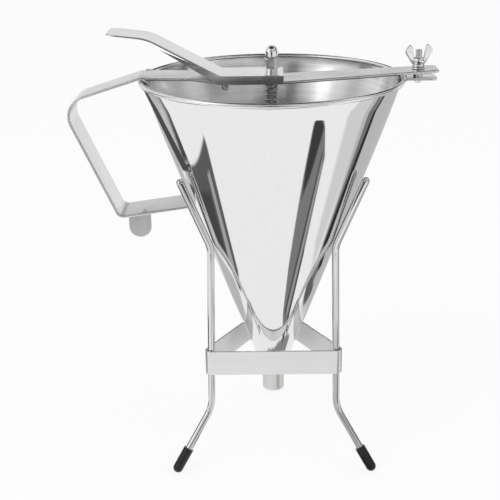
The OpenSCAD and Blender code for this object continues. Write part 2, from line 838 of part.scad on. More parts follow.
// Straight wire from a to b in the XZ plane
module wire_run(a, b, r) {
    translate([a[0], 0, a[1]])
        rotate([0, atan2(b[0] - a[0], b[1] - a[1]), 0]) cylinder(r = r, h = norm(b - a));
}

// Bend of the wire at corner b
module wire_bend(a, b, c, r) {
    t = turn_of(a, b, c);
    start = b - unit(b - a) * wire_bend_r * tan(abs(t) / 2);
    side = t > 0 ? 90 : -90;
    centre = start + polar(wire_bend_r, heading(a, b) + side);
    a0 = heading(a, b) - side;
    translate([centre[0], 0, centre[1]])
        rotate([90, 0, 0])
            rotate([0, 0, t > 0 ? a0 : a0 + t])
                rotate_extrude(angle = abs(t)) translate([wire_bend_r, 0]) circle(r);
}

// Length that a bend takes from the wire on each side of its corner
function bend_reach(a, b, c) = wire_bend_r * tan(abs(turn_of(a, b, c)) / 2);

// Bent wire of one leg, in the XZ plane. The straight runs are a hair thinner than the bends and end
// just inside them, so that the pieces overlap cleanly
module leg_wire() {
    p = leg_line;
    u = bend_reach(p[0], p[1], p[2]) - run_overlap;
    l = bend_reach(p[1], p[2], p[3]) - run_overlap;
    run_r = wire_r - bend_swell;
    wire_end = p[3] - unit(p[3] - p[2]) * cap_wall_end;
    union() {
        wire_run(p[0], p[1] + unit(p[0] - p[1]) * u, run_r);
        wire_bend(p[0], p[1], p[2], wire_r);
        wire_run(p[1] + unit(p[2] - p[1]) * u, p[2] + unit(p[1] - p[2]) * l, run_r);
        wire_bend(p[1], p[2], p[3], wire_r);
        wire_run(p[2] + unit(p[3] - p[2]) * l, wire_end, run_r);
        translate([p[0][0], 0, p[0][1]]) sphere(run_r);
    }
}

// Rubber cap pushed on the foot of one leg, with a flat to stand on
module foot_cap() {
    p = leg_line;
    along = unit(p[2] - p[3]);
    tilt = atan2(along[0], along[1]);
    difference() {
        translate([p[3][0], 0, p[3][1]])
            rotate([0, tilt, 0])
                difference() {
                    union() {
                        sphere(cap_r);
                        cylinder(r = cap_r, h = cap_len - cap_r);
                    }
                    translate([0, 0, cap_wall_end]) cylinder(r = wire_r + 0.05, h = cap_len);
                }
        translate([0, -20, -20]) cube([200, 40, 20]);
    }
}

module turned_leg(i) {
    color(POLISHED) placed() rotate([0, 0, LEG_TURN[i]]) leg_wire();
}

module turned_cap(i) {
    color(RUBBER) placed() rotate([0, 0, LEG_TURN[i]]) foot_cap();
}

module stand_leg_left() { turned_leg(0); }
module stand_leg_right() { turned_leg(1); }
module stand_leg_rear() { turned_leg(2); }
module foot_cap_left() { turned_cap(0); }
module foot_cap_right() { turned_cap(1); }
module foot_cap_rear() { turned_cap(2); }

funnel_cone();
outlet_bush();
handle_strap();
cross_bar();
rest_tab();
clamp_lug();
clamp_stud();
clamp_spacer();
clamp_washer();
wing_nut();
stop_screw();
stop_nut();
spring_washer();
return_spring();
lever();
lever_pin();
piston_rod();
valve_plug();
cap_nut();
nut_collar();
spring_collar();
collar_pin();
stand_band();
stand_leg_left();
stand_leg_right();
stand_leg_rear();
foot_cap_left();
foot_cap_right();
foot_cap_rear();
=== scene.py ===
"""Looks of a lever-worked confectionery funnel that stands in its wire stand.

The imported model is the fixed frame. Its small turned pieces keep their own meshes and get their
finishes here. The cone, the sheet pieces, the two shaped nuts, the spring, the threaded rods and the
wire legs are rebuilt in finer meshes at the same places, with their weld seams. Lengths are in metres.
"""

import logging
import math
from dataclasses import dataclass
from enum import Enum
from typing import Sequence

import bmesh
import bpy
import numpy as np
from bpy.types import Material, Mesh, Node, NodeSocket, NodeTree, Object
from mathutils import Matrix, Vector


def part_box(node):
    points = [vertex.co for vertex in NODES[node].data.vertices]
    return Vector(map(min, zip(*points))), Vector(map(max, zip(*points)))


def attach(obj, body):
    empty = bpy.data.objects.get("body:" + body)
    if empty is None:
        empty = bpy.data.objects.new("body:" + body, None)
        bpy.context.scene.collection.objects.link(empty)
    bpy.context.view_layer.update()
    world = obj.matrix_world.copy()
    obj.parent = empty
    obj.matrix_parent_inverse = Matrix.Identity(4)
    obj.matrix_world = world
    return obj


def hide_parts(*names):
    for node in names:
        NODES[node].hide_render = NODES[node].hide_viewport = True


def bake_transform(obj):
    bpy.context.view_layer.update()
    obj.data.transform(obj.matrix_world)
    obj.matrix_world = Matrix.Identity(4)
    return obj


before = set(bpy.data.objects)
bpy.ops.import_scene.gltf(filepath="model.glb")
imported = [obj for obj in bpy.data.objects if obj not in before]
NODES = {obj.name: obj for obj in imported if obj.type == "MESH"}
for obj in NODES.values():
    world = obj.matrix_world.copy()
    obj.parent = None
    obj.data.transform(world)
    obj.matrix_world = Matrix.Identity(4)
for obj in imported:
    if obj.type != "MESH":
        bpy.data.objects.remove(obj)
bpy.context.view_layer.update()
MM = 0.001

log = logging.getLogger("funnel")

Pair = tuple[float, float]
Triple = tuple[float, float, float]
Values = dict[str | int, object]


class Body(Enum):
    """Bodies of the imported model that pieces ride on."""

    STAND = "stand"
    FUNNEL = "funnel"
    LEVER = "lever"
    PISTON = "piston"
    WING = "wing"


class Slot(Enum):
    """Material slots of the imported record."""

    POLISHED = "polished_steel"
    SATIN = "satin_steel"
    BRIGHT = "bright_steel"
    SPRING = "spring_steel"
    WIRE = "wire_steel"


class Grain(Enum):
    """Way in which a finish was brushed, as the squeeze of its pattern along X, Y and Z, per metre."""

    AROUND = (9.0, 9.0, 900.0)
    LENGTHWISE = (14.0, 1100.0, 14.0)
    UPRIGHT = (1300.0, 1300.0, 16.0)
    BAND = (12.0, 12.0, 1100.0)
    DRAWN = (2.6, 2.6, 6.0)
    NONE = (500.0, 500.0, 500.0)


def middle_x(node: str) -> float:
    """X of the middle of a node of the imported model."""
    low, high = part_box(node)
    return (low.x + high.x) / 2


AXIS_X = middle_x("piston_rod")


# Nodes


@dataclass
class NodeWriter:
    """Adds and links nodes in one tree.

    Attributes:
        tree: The tree.
    """

    tree: NodeTree

    @property
    def given(self) -> bpy.types.bpy_prop_collection:
        """What the group's user gives it, by name."""
        return self.tree.nodes["in"].outputs

    def give(self, values: dict[str, NodeSocket]) -> None:
        """Sets what the group gives back, by name."""
        self.feed(self.tree.nodes["out"], values)

    def show(self, shader: NodeSocket) -> None:
        """Makes a shader the material's surface."""
        self.feed(self.tree.nodes["Material Output"], {"Surface": shader})

    def feed(self, node: Node, values: Values) -> None:
        """Fills inputs of a node.

        Args:
            node: The node.
            values: A plain value, or the output that feeds it, for each input, by name or number.
        """
        for key, value in values.items():
            if isinstance(value, NodeSocket):
                self.tree.links.new(value, node.inputs[key])
            else:
                node.inputs[key].default_value = value

    def add(self, kind: str, values: Values | None = None, **settings: object) -> Node:
        """Adds a node.

        Args:
            kind: Blender's name of the node type.
            values: What its inputs take, as for feed.
            settings: Properties of the node.

        Returns:
            The new node.
        """
        made = self.tree.nodes.new(kind)
        for name, value in settings.items():
            setattr(made, name, value)
        self.feed(made, values or {})
        return made

    def result(self, kind: str, values: Values | None = None, **settings: object) -> NodeSocket:
        """Adds a node as add does and returns its first output."""
        return self.add(kind, values, **settings).outputs[0]

    def math(self, operation: str, first: object, second: object = 0.0) -> NodeSocket:
        """Adds a Math node on two outputs or numbers and returns its output."""
        return self.result("ShaderNodeMath", {0: first, 1: second}, operation=operation)

    def xyz(self, x: NodeSocket, y: NodeSocket, z: NodeSocket) -> NodeSocket:
        """Joins three outputs to a vector and returns it."""
        return self.result("ShaderNodeCombineXYZ", {"X": x, "Y": y, "Z": z})


def new_group(
    name: str, inputs: dict[str, str], outputs: dict[str, str], kind: str = "ShaderNodeTree"
) -> NodeWriter:
    """Starts a node group.

    Args:
        name: Name of the group.
        inputs: Kind of each input, by name.
        outputs: Kind of each output, by name.
        kind: Blender's name of the tree type.

    Returns:
        A writer on the new group, which already holds its input and output nodes.
    """
    tree = bpy.data.node_groups.new(name, kind)
    for way, sockets in (("INPUT", inputs), ("OUTPUT", outputs)):
        for label, socket in sockets.items():
            tree.interface.new_socket(label, in_out=way, socket_type="NodeSocket" + socket)
    writer = NodeWriter(tree)
    writer.add("NodeGroupInput", name="in")
    writer.add("NodeGroupOutput", name="out")
    return writer


def brushed_group() -> NodeTree:
    """Brush lines, fine and coarse, drawn out along the way of the brushing.

    Returns:
        Group with inputs Position, Squeeze and Depth, and outputs Tone and Height.
    """
    w = new_group(
        "brush lines",
        {"Position": "Vector", "Squeeze": "Vector", "Depth": "Float"},
        {"Tone": "Float", "Height": "Float"},
    )
    place, squeeze = w.given["Position"], w.given["Squeeze"]
    drawn = w.result("ShaderNodeVectorMath", {0: place, 1: squeeze}, operation="MULTIPLY")
    shared = []
    for share, scale, detail, roughness in ((0.55, 1.9, 3.0, 0.6), (0.45, 0.42, 2.0, 0.5)):
        noise = w.result(
            "ShaderNodeTexNoise", {"Vector": drawn, "Scale": scale, "Detail": detail, "Roughness": roughness}
        )
        shared.append(w.math("MULTIPLY", noise, share))
    lines = w.math("ADD", *shared)
    w.give({"Tone": lines, "Height": w.math("MULTIPLY", lines, w.given["Depth"])})
    return w.tree


def handling_group() -> NodeTree:
    """Wide soft clouds, as wiping and handling leave on steel.

    Returns:
        Group with inputs Position and Scale, and output Cloud.
    """
    w = new_group("wiped clouds", {"Position": "Vector", "Scale": "Float"}, {"Cloud": "Float"})
    cloud = w.result(
        "ShaderNodeTexNoise",
        {
            "Vector": w.given["Position"],
            "Scale": w.given["Scale"],
            "Detail": 3.0,
            "Roughness": 0.55,
            "Distortion": 0.4,
        },
    )
    w.give({"Cloud": w.result("ShaderNodeMapRange", {"Value": cloud, "From Min": 0.3, "From Max": 0.7})})
    return w.tree


BRUSHED = brushed_group()
HANDLING = handling_group()


# Finishes


def new_material(name: str) -> tuple[Material, NodeWriter, Node]:
    """Starts a material.

    Args:
        name: Name of the material.

    Returns:
        The material, a writer on its tree, and its shader.
    """
    material = bpy.data.materials.new(name)
    material.use_nodes = True
    w = NodeWriter(material.node_tree)
    return material, w, w.tree.nodes["Principled BSDF"]


def mottled(
    w: NodeWriter, place: NodeSocket, scale: float, low: float, high: float
) -> tuple[NodeSocket, NodeSocket]:
    """Adds handled clouds and a roughness that follows them.

    Args:
        w: Writer on the material's tree.
        place: Place on the piece.
        scale: Size of the clouds, per metre.
        low: Roughness where the surface is cleanest.
        high: Roughness where it is most handled.

    Returns:
        The clouds, and the roughness.
    """
    clouds = w.result("ShaderNodeGroup", {"Position": place, "Scale": scale}, node_tree=HANDLING)
    return clouds, w.result("ShaderNodeMapRange", {"Value": clouds, "To Min": low, "To Max": high})


@dataclass(frozen=True)
class SteelFinish:
    """Bare steel: its tones, its brush lines and its gloss.

    Attributes:
        name: Name of the material.
        light: Colour of the brightest strokes.
        dark: Colour of the darkest strokes.
        gloss: Roughness where the surface is cleanest.
        haze: Roughness where it is most handled.
        grain: Way of the brushing.
        depth: Height of the brush lines.
        anisotropy: Stretch of the highlights across the brushing, round the vertical axis.
        place_attribute: Attribute of the piece that the lines follow, where they don't follow its place.
        cloud_scale: Size of the handled clouds, per metre.
        stroke_range: Tones of the brush lines that get the darkest and the brightest colour.
    """

    name: str
    light: Triple
    dark: Triple
    gloss: float
    haze: float
    grain: Grain
    depth: float
    anisotropy: float = 0.0
    place_attribute: str = ""
    cloud_scale: float = 26.0
    stroke_range: Pair = (0.36, 0.64)

    def build(self) -> Material:
        """Makes the material.

        Returns:
            The material.
        """
        material, w, shader = new_material(self.name)
        place = w.add("ShaderNodeTexCoord").outputs["Object"]
        followed = place
        if self.place_attribute:
            followed = w.add("ShaderNodeAttribute", attribute_name=self.place_attribute).outputs["Vector"]
        lines = w.add(
            "ShaderNodeGroup",
            {"Position": followed, "Squeeze": self.grain.value, "Depth": self.depth},
            node_tree=BRUSHED,
        ).outputs
        low, high = self.stroke_range
        strokes = w.result("ShaderNodeMapRange", {"Value": lines["Tone"], "From Min": low, "From Max": high})
        tone = w.add(
            "ShaderNodeMix",
            {"Factor": strokes, "A": (*self.dark, 1.0), "B": (*self.light, 1.0)},
            data_type="RGBA",
        ).outputs["Result"]
        _, gloss = mottled(w, place, self.cloud_scale, self.gloss, self.haze)
        bump = w.result("ShaderNodeBump", {"Height": lines["Height"], "Strength": 1.0, "Distance": 1.0})
        w.feed(shader, {"Base Color": tone, "Metallic": 1.0, "Roughness": gloss, "Normal": bump})
        if self.anisotropy:
            tangent = w.result("ShaderNodeTangent", direction_type="RADIAL", axis="Z")
            w.feed(shader, {"Anisotropic": self.anisotropy, "Anisotropic Rotation": 0.25, "Tangent": tangent})
        return material


@dataclass(frozen=True)
class RubberFinish:
    """Black rubber with a faint moulded texture and dull scuffs.

    Attributes:
        name: Name of the material.
        deep: Colour where it is cleanest.
        scuffed: Colour where it is most handled.
        gloss: Roughness where it is cleanest.
        haze: Roughness where it is most handled.
        shine: Strength of its reflections.
        cloud_scale: Size of the handled clouds, per metre.
        grain_scale: Size of the moulded texture, per metre.
        grain_depth: Height of the moulded texture.
    """

    name: str = "black rubber"
    deep: Triple = (0.006, 0.006, 0.0065)
    scuffed: Triple = (0.015, 0.015, 0.0155)
    gloss: float = 0.22
    haze: float = 0.34
    shine: float = 0.35
    cloud_scale: float = 180.0
    grain_scale: float = 2600.0
    grain_depth: float = 0.02 * MM

    def build(self) -> Material:
        """Makes the material.

        Returns:
            The material.
        """
        material, w, shader = new_material(self.name)
        place = w.add("ShaderNodeTexCoord").outputs["Object"]
        clouds, gloss = mottled(w, place, self.cloud_scale, self.gloss, self.haze)
        tone = w.add(
            "ShaderNodeMix",
            {"Factor": clouds, "A": (*self.deep, 1.0), "B": (*self.scuffed, 1.0)},
            data_type="RGBA",
        ).outputs["Result"]
        grain = w.result("ShaderNodeTexNoise", {"Vector": place, "Scale": self.grain_scale, "Detail": 2.0})
        bump = w.result("ShaderNodeBump", {"Height": grain, "Strength": 0.5, "Distance": self.grain_depth})
        w.feed(
            shader, {"Base Color": tone, "Roughness": gloss, "Normal": bump, "Specular IOR Level": self.shine}
        )
        return material


MIRROR = SteelFinish(
    "polished cone steel", (0.84, 0.84, 0.845), (0.81, 0.81, 0.815), 0.03, 0.055, Grain.UPRIGHT, 3e-7
).build()
INSIDE = SteelFinish(
    "brushed inside steel", (0.80, 0.80, 0.80), (0.70, 0.70, 0.705), 0.14, 0.20, Grain.AROUND, 1e-6, 0.88
).build()
RIM = SteelFinish(
    "rolled rim steel", (0.88, 0.88, 0.885), (0.82, 0.82, 0.825), 0.20, 0.28, Grain.AROUND, 8e-7
).build()
FOLDED = SteelFinish(
    "folded lever steel", (0.76, 0.76, 0.765), (0.70, 0.70, 0.705), 0.12, 0.19, Grain.LENGTHWISE, 8e-7
).build()
SATIN = SteelFinish(
    "satin sheet steel", (0.78, 0.78, 0.78), (0.70, 0.70, 0.705), 0.22, 0.29, Grain.LENGTHWISE, 6e-7
).build()
SATIN_BAND = SteelFinish(
    "satin band steel", (0.79, 0.79, 0.79), (0.74, 0.74, 0.745), 0.27, 0.36, Grain.BAND, 1.2e-6
).build()
SATIN_TAB = SteelFinish(
    "satin tab steel", (0.78, 0.78, 0.78), (0.67, 0.67, 0.675), 0.30, 0.38, Grain.UPRIGHT, 3e-6
).build()
BRIGHT = SteelFinish(
    "bright nut steel", (0.84, 0.84, 0.845), (0.76, 0.76, 0.77), 0.06, 0.11, Grain.AROUND, 6e-7
).build()
TURNED = SteelFinish(
    "turned steel", (0.78, 0.77, 0.755), (0.70, 0.69, 0.68), 0.38, 0.46, Grain.AROUND, 3e-6
).build()
WIRE = SteelFinish(
    "drawn wire steel", (0.88, 0.88, 0.885), (0.30, 0.30, 0.31), 0.07, 0.12, Grain.DRAWN, 6e-7, 0.0, "drawn"
).build()
SPRING = SteelFinish(
    "spring wire steel", (0.90, 0.90, 0.91), (0.72, 0.72, 0.73), 0.05, 0.10, Grain.DRAWN, 5e-7, 0.0, "drawn"
).build()
WELD = SteelFinish(
    "weld seam steel", (0.72, 0.71, 0.69), (0.50, 0.49, 0.48), 0.24, 0.36, Grain.NONE, 4e-6
).build()
RUBBER = RubberFinish().build()


# Mesh helpers


def placed(name: str, data: bpy.types.ID) -> Object:
    """Puts a new object in the scene.

    Args:
        name: Name of the object.
        data: Its mesh, lamp or camera.

    Returns:
        The object.
    """
    made = bpy.data.objects.new(name, data)
    bpy.context.scene.collection.objects.link(made)
    return made


def smooth_by_angle(mesh: Mesh, angle: float) -> None:
    """Shades a mesh smooth, with edges sharper than an angle in degrees kept crisp."""
    mesh.shade_smooth()
    mesh.set_sharp_from_angle(angle=math.radians(angle))


def new_mesh(
    name: str, points: Sequence[Sequence[float]], faces: Sequence[Sequence[int]], edges: Sequence[Pair] = ()
) -> Mesh:
    """Makes a mesh.

    Args:
        name: Name of the mesh.
        points: Its points.
        faces: The points of each face.
        edges: The points of each edge that no face has.

    Returns:
        The mesh.
    """
    mesh = bpy.data.meshes.new(name)
    mesh.from_pydata([tuple(float(v) for v in point) for point in points], edges, faces)
    mesh.update()
    return mesh


def from_bmesh(work: bmesh.types.BMesh, name: str, material: Material | None = None) -> Mesh:
    """Ends the work on a mesh.

    Args:
        work: The work, which is freed.
        name: Name of the mesh.
        material: Its finish, or none for a mesh that is worked on.

    Returns:
        The mesh.
    """
    mesh = bpy.data.meshes.new(name)
    work.to_mesh(mesh)
    work.free()
    if material:
        mesh.materials.append(material)
    return mesh


def break_edges(work: bmesh.types.BMesh, angle: float, radius: float, segments: int) -> None:
    """Rounds the sharp edges of a mesh.

    Args:
        work: The mesh.
        angle: Smallest angle of an edge that is rounded, in degrees.
        radius: Radius of the rounding.
        segments: Number of steps in it.
    """
    sharp = [e for e in work.edges if e.is_manifold and e.calc_face_angle() > math.radians(angle)]
    bmesh.ops.bevel(
        work, geom=sharp, offset=radius, segments=segments, profile=0.5, affect="EDGES",
        clamp_overlap=False,
    )


def new_piece(name: str, mesh: Mesh, body: Body | None, replaced: Sequence[str] = ()) -> Object:
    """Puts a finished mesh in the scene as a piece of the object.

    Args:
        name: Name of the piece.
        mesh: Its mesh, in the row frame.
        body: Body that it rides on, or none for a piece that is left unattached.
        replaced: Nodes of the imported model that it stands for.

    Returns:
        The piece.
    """
    piece = placed(name, mesh)
    if body:
        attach(piece, body.value)
    if replaced:
        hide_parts(*replaced)
    log.info("%s: %d faces on %s", name, len(mesh.polygons), body.value if body else "two bodies")
    return piece


def applied(loose: Object) -> Mesh:
    """Applies a loose object's modifiers.

    Args:
        loose: Object that isn't part of the model. It is removed.

    Returns:
        Its evaluated mesh.
    """
    view = bpy.context.evaluated_depsgraph_get()
    made = bpy.data.meshes.new_from_object(loose.evaluated_get(view), depsgraph=view)
    loose.modifiers.clear()
    bpy.data.objects.remove(loose)
    return made


def round_faces(count: int, steps: int, sides: int) -> list[tuple[int, ...]]:
    """Faces of an outline that is turned round an axis.

    Args:
        count: Number of points of the outline.
        steps: Number of steps round the axis.
        sides: Number of its sides that get a strip of faces, with the last back to its first point.

    Returns:
        The points of each face.
    """
    faces = []
    for i in range(steps):
        here, after = i * count, (i + 1) % steps * count
        for k in range(sides):
            up = (k + 1) % count
            faces.append((here + k, after + k, after + up, here + up))
    return faces


def turned_mesh(name: str, outline: Sequence[Pair], steps: int, axis_x: float = AXIS_X) -> Mesh:
    """Turns a closed outline round an upright axis.

    Args:
        name: Name of the mesh.
        outline: Radius and height of each point, anticlockwise seen with the axis on the left.
        steps: Number of steps round the axis.
        axis_x: X of the axis.

    Returns:
        The mesh, with one strip of faces for each side of the outline.
    """
    points = [
        (axis_x + r * math.cos(a), r * math.sin(a), z)
        for a in (2 * math.pi * i / steps for i in range(steps))
        for r, z in outline
    ]
    return new_mesh(name, points, round_faces(len(outline), steps, len(outline)))


# Geometry Nodes trees


def geometry_group(name: str, sizes: Sequence[str], counts: Sequence[str] = ()) -> NodeWriter:
    """Starts a Geometry Nodes tree that takes a geometry and a Finish, and gives a geometry.

    Args:
        name: Name of the tree.
        sizes: Names of its inputs for sizes.
        counts: Names of its inputs for whole numbers.

    Returns:
        A writer on the tree.
    """
    inputs = {"Geometry": "Geometry", **dict.fromkeys(sizes, "Float"), **dict.fromkeys(counts, "Int")}
    return new_group(name, {**inputs, "Finish": "Material"}, {"Geometry": "Geometry"}, "GeometryNodeTree")


def finish_group(w: NodeWriter, made: NodeSocket) -> NodeTree:
    """Ends a Geometry Nodes tree in Realize Instances and Set Material.

    Args:
        w: Writer on the tree.
        made: Geometry that the tree has made.

    Returns:
        The finished tree.
    """
    real = w.result("GeometryNodeRealizeInstances", {0: made})
    finish = w.given["Finish"]
    w.give({"Geometry": w.result("GeometryNodeSetMaterial", {"Geometry": real, "Material": finish})})
    return w.tree


def captured(
    w: NodeWriter, geometry: NodeSocket, kind: str, value: NodeSocket
) -> tuple[NodeSocket, NodeSocket]:
    """Notes a value on the points of a geometry.

    Args:
        w: Writer on the tree.
        geometry: The geometry.
        kind: Blender's name of the value's type.
        value: The value.

    Returns:
        The geometry, and the value as noted.
    """
    note = w.add("GeometryNodeCaptureAttribute", domain="POINT")
    note.capture_items.new(kind, "noted")
    w.feed(note, {"Geometry": geometry, "noted": value})
    return note.outputs["Geometry"], note.outputs["noted"]


def sweep(w: NodeWriter, path: NodeSocket, radius: NodeSocket, scale: NodeSocket | float = 1.0) -> NodeSocket:
    """Sweeps a round section along a curve and stores the place on the wire in the attribute drawn.

    Args:
        w: Writer on the tree.
        path: The curve.
        radius: Radius of the section.
        scale: Scale of the section along the curve.

    Returns:
        The swept mesh. The attribute holds the cosine and sine round the wire, and the length along it.
    """
    circle = w.result("GeometryNodeCurvePrimitiveCircle", {"Resolution": 20, "Radius": radius}, mode="RADIUS")
    place = w.result("GeometryNodeInputPosition")
    around = w.result("ShaderNodeVectorMath", {0: place}, operation="NORMALIZE")
    section, round_place = captured(w, circle, "VECTOR", around)
    along = w.add("GeometryNodeSplineParameter").outputs["Length"]
    curve, long_place = captured(w, path, "FLOAT", along)
    swept = w.result(
        "GeometryNodeCurveToMesh",
        {"Curve": curve, "Profile Curve": section, "Scale": scale, "Fill Caps": True},
    )
    parts = w.add("ShaderNodeSeparateXYZ", {0: round_place}).outputs
    stored = w.result(
        "GeometryNodeStoreNamedAttribute",
        {"Geometry": swept, "Name": "drawn", "Value": w.xyz(parts["X"], parts["Y"], long_place)},
        data_type="FLOAT_VECTOR",
        domain="POINT",
    )
    return w.result("GeometryNodeSetShadeSmooth", {"Geometry": stored})


def wire_tree() -> NodeTree:
    """Wire or weld bead along a polyline, with the vertex attribute thick and, on a bead, ripples.

    Returns:
        Tree with inputs Radius, Ripple depth, Ripple length and Finish.
    """
    w = geometry_group("wire along a path", ("Radius", "Ripple depth", "Ripple length"))
    given = w.given
    path = w.result("GeometryNodeMeshToCurve", {"Mesh": given["Geometry"]})
    thick = w.result("GeometryNodeInputNamedAttribute", {"Name": "thick"}, data_type="FLOAT")
    along = w.add("GeometryNodeSplineParameter").outputs["Length"]
    step = w.math("FRACT", w.math("DIVIDE", along, given["Ripple length"]))
    dip = w.math("MULTIPLY", w.math("MULTIPLY", step, step), given["Ripple depth"])
    scale = w.math("MULTIPLY", thick, w.math("SUBTRACT", 1.0, dip))
    return finish_group(w, sweep(w, path, given["Radius"], scale))


def spring_tree() -> NodeTree:
    """Compression spring with one closed turn at each end, standing on the origin.

    Returns:
        Tree with inputs Turns, Coil radius, Wire radius, Height, Steps and Finish.
    """
    w = geometry_group("coil spring", ("Turns", "Coil radius", "Wire radius", "Height"), ("Steps",))
    turns, coil_r, wire_r, steps = (w.given[n] for n in ("Turns", "Coil radius", "Wire radius", "Steps"))
    share = w.math("DIVIDE", w.result("GeometryNodeInputIndex"), w.math("SUBTRACT", steps, 1.0))
    turn = w.math("MULTIPLY", share, turns)
    angle = w.math("MULTIPLY", turn, math.tau)
    wire = w.math("MULTIPLY", wire_r, 2.0)
    low_turn = w.math("MINIMUM", turn, 1.0)
    left = w.math("SUBTRACT", turns, turn)
    high_turn = w.math("SUBTRACT", 1.0, w.math("MINIMUM", left, 1.0))
    open_turns = w.math("SUBTRACT", turns, 2.0)
    open_height = w.math("SUBTRACT", w.given["Height"], w.math("MULTIPLY", wire, 3.0))
    middle = w.math("MINIMUM", w.math("MAXIMUM", w.math("SUBTRACT", turn, 1.0), 0.0), open_turns)
    closed = w.math("MULTIPLY", w.math("ADD", low_turn, high_turn), wire)
    rise = w.math("MULTIPLY", w.math("DIVIDE", middle, open_turns), open_height)
    height = w.math("ADD", w.math("ADD", closed, rise), wire_r)
    x, y = (w.math("MULTIPLY", w.math(wave, angle), coil_r) for wave in ("COSINE", "SINE"))
    line = w.result("GeometryNodeMeshLine", {"Count": steps})
    coil = w.result("GeometryNodeSetPosition", {"Geometry": line, "Position": w.xyz(x, y, height)})
    return finish_group(w, sweep(w, w.result("GeometryNodeMeshToCurve", {"Mesh": coil}), wire_r))


def thread_tree() -> NodeTree:
    """Screw thread with broken ends, standing on the origin.

    Returns:
        Tree with inputs Radius, Depth, Pitch, Length, Rings and Finish.
    """
    w = geometry_group("screw thread", ("Radius", "Depth", "Pitch", "Length"), ("Rings",))
    radius, depth, pitch, length = (w.given[n] for n in ("Radius", "Depth", "Pitch", "Length"))
    bar = w.result(
        "GeometryNodeMeshCylinder",
        {"Vertices": 36, "Side Segments": w.given["Rings"], "Radius": radius, "Depth": length},
    )
    at = w.add("ShaderNodeSeparateXYZ", {0: w.result("GeometryNodeInputPosition")}).outputs
    turn = w.math("DIVIDE", w.math("ARCTAN2", at["Y"], at["X"]), math.tau)
    phase = w.math("PINGPONG", w.math("SUBTRACT", w.math("DIVIDE", at["Z"], pitch), turn), 0.5)
    flat = 0.06  # Share of the pitch that is flat on each side of the crest and of the root
    groove = w.result("ShaderNodeMapRange", {"Value": phase, "From Min": flat, "From Max": 0.5 - flat})
    half = w.math("MULTIPLY", length, 0.5)
    to_end = w.math("SUBTRACT", half, w.math("ABSOLUTE", at["Z"]))
    broken = w.math("SUBTRACT", 1.0, w.math("MINIMUM", w.math("DIVIDE", to_end, depth), 1.0))
    cut = w.math("MULTIPLY", w.math("MAXIMUM", groove, broken), depth)
    scale = w.math("SUBTRACT", 1.0, w.math("DIVIDE", cut, radius))
    x, y = (w.math("MULTIPLY", at[axis], scale) for axis in ("X", "Y"))
    moved = w.xyz(x, y, w.math("ADD", at["Z"], half))
    return finish_group(w, w.result("GeometryNodeSetPosition", {"Geometry": bar, "Position": moved}))


WIRE_TREE = wire_tree()
SPRING_TREE = spring_tree()
THREAD_TREE = thread_tree()


def grown(tree: NodeTree, values: dict[str, object], start: Mesh | None = None) -> Mesh:
    """Runs a Geometry Nodes tree on a loose object.

    Args:
        tree: The tree.
        values: Values of its inputs, by name.
        start: Mesh that it starts from, or none.

    Returns:
        Its result as a plain mesh.
    """
    loose = placed(tree.name, start or bpy.data.meshes.new(tree.name))
    modifier = loose.modifiers.new(tree.name, "NODES")
    modifier.node_group = tree
    for socket in tree.interface.items_tree:
        if socket.in_out == "INPUT" and socket.name in values:
            modifier[socket.identifier] = values[socket.name]
    return applied(loose)


def domed_path(points: Sequence[Vector], radius: float, steps: int) -> tuple[list[Vector], list[float]]:
    """Rounds both ends of a wire's path.

    Args:
        points: The wire's middle line, up to where its domed ends begin.
        radius: Radius of the wire, and of its domes.
        steps: Number of points on each dome.

    Returns:
        The longer path, and its thickness at each point, from near nothing at the tips to one.
    """
    widest = 88  # Degrees up to which a dome is drawn, so that its tip keeps a width
    angles = [math.radians(widest - widest * i / steps) for i in range(steps)]
    first = (points[0] - points[1]).normalized()
    last = (points[-1] - points[-2]).normalized()
    start = [points[0] + first * radius * math.sin(a) for a in angles]
    end = [points[-1] + last * radius * math.sin(a) for a in reversed(angles)]
    caps = [math.cos(a) for a in angles]
    return start + list(points) + end, caps + [1.0] * len(points) + caps[::-1]


def wire_mesh(
    line: Sequence[Vector], radius: float, finish: Material, dome_steps: int = 6, ripples: Pair = (0.0, 1.0)
) -> Mesh:
    """Grows a wire or a weld bead with domed ends.

    Args:
        line: Its middle line.
        radius: Its radius.
        finish: Its finish.
        dome_steps: Number of points on each domed end.
        ripples: Depth of its ripples as a share of the radius, and their length.

    Returns:
        The mesh.
    """
    points, thick = domed_path(line, radius, dome_steps)
    path = new_mesh("path", points, [], [(i, i + 1) for i in range(len(points) - 1)])
    path.attributes.new("thick", "FLOAT", "POINT").data.foreach_set("value", thick)
    depth, length = ripples
    sizes = {"Radius": radius, "Ripple depth": depth, "Ripple length": length, "Finish": finish}
    return grown(WIRE_TREE, sizes, path)


def bent_line(corners: Sequence[Vector], radii: Sequence[float], steps: int = 14) -> list[Vector]:
    """Follows straight runs between corners, with each inner corner bent to its radius.

    Args:
        corners: Ends and corners of the line.
        radii: Bend radius of each inner corner.
        steps: Number of steps in each bend.

    Returns:
        Points of the bent line.
    """
    line = [corners[0]]
    for before, corner, after, radius in zip(corners, corners[1:], corners[2:], radii):
        to_before = (before - corner).normalized()
        to_after = (after - corner).normalized()
        half = (math.pi - to_before.angle(to_after)) / 2
        middle = corner + (to_before + to_after).normalized() * radius / math.cos(half)
        start = corner + to_before * radius * math.tan(half) - middle
        stop = corner + to_after * radius * math.tan(half) - middle
        line.extend(middle + start.slerp(stop, i / steps).normalized() * radius for i in range(steps + 1))
    line.append(corners[-1])
    return line


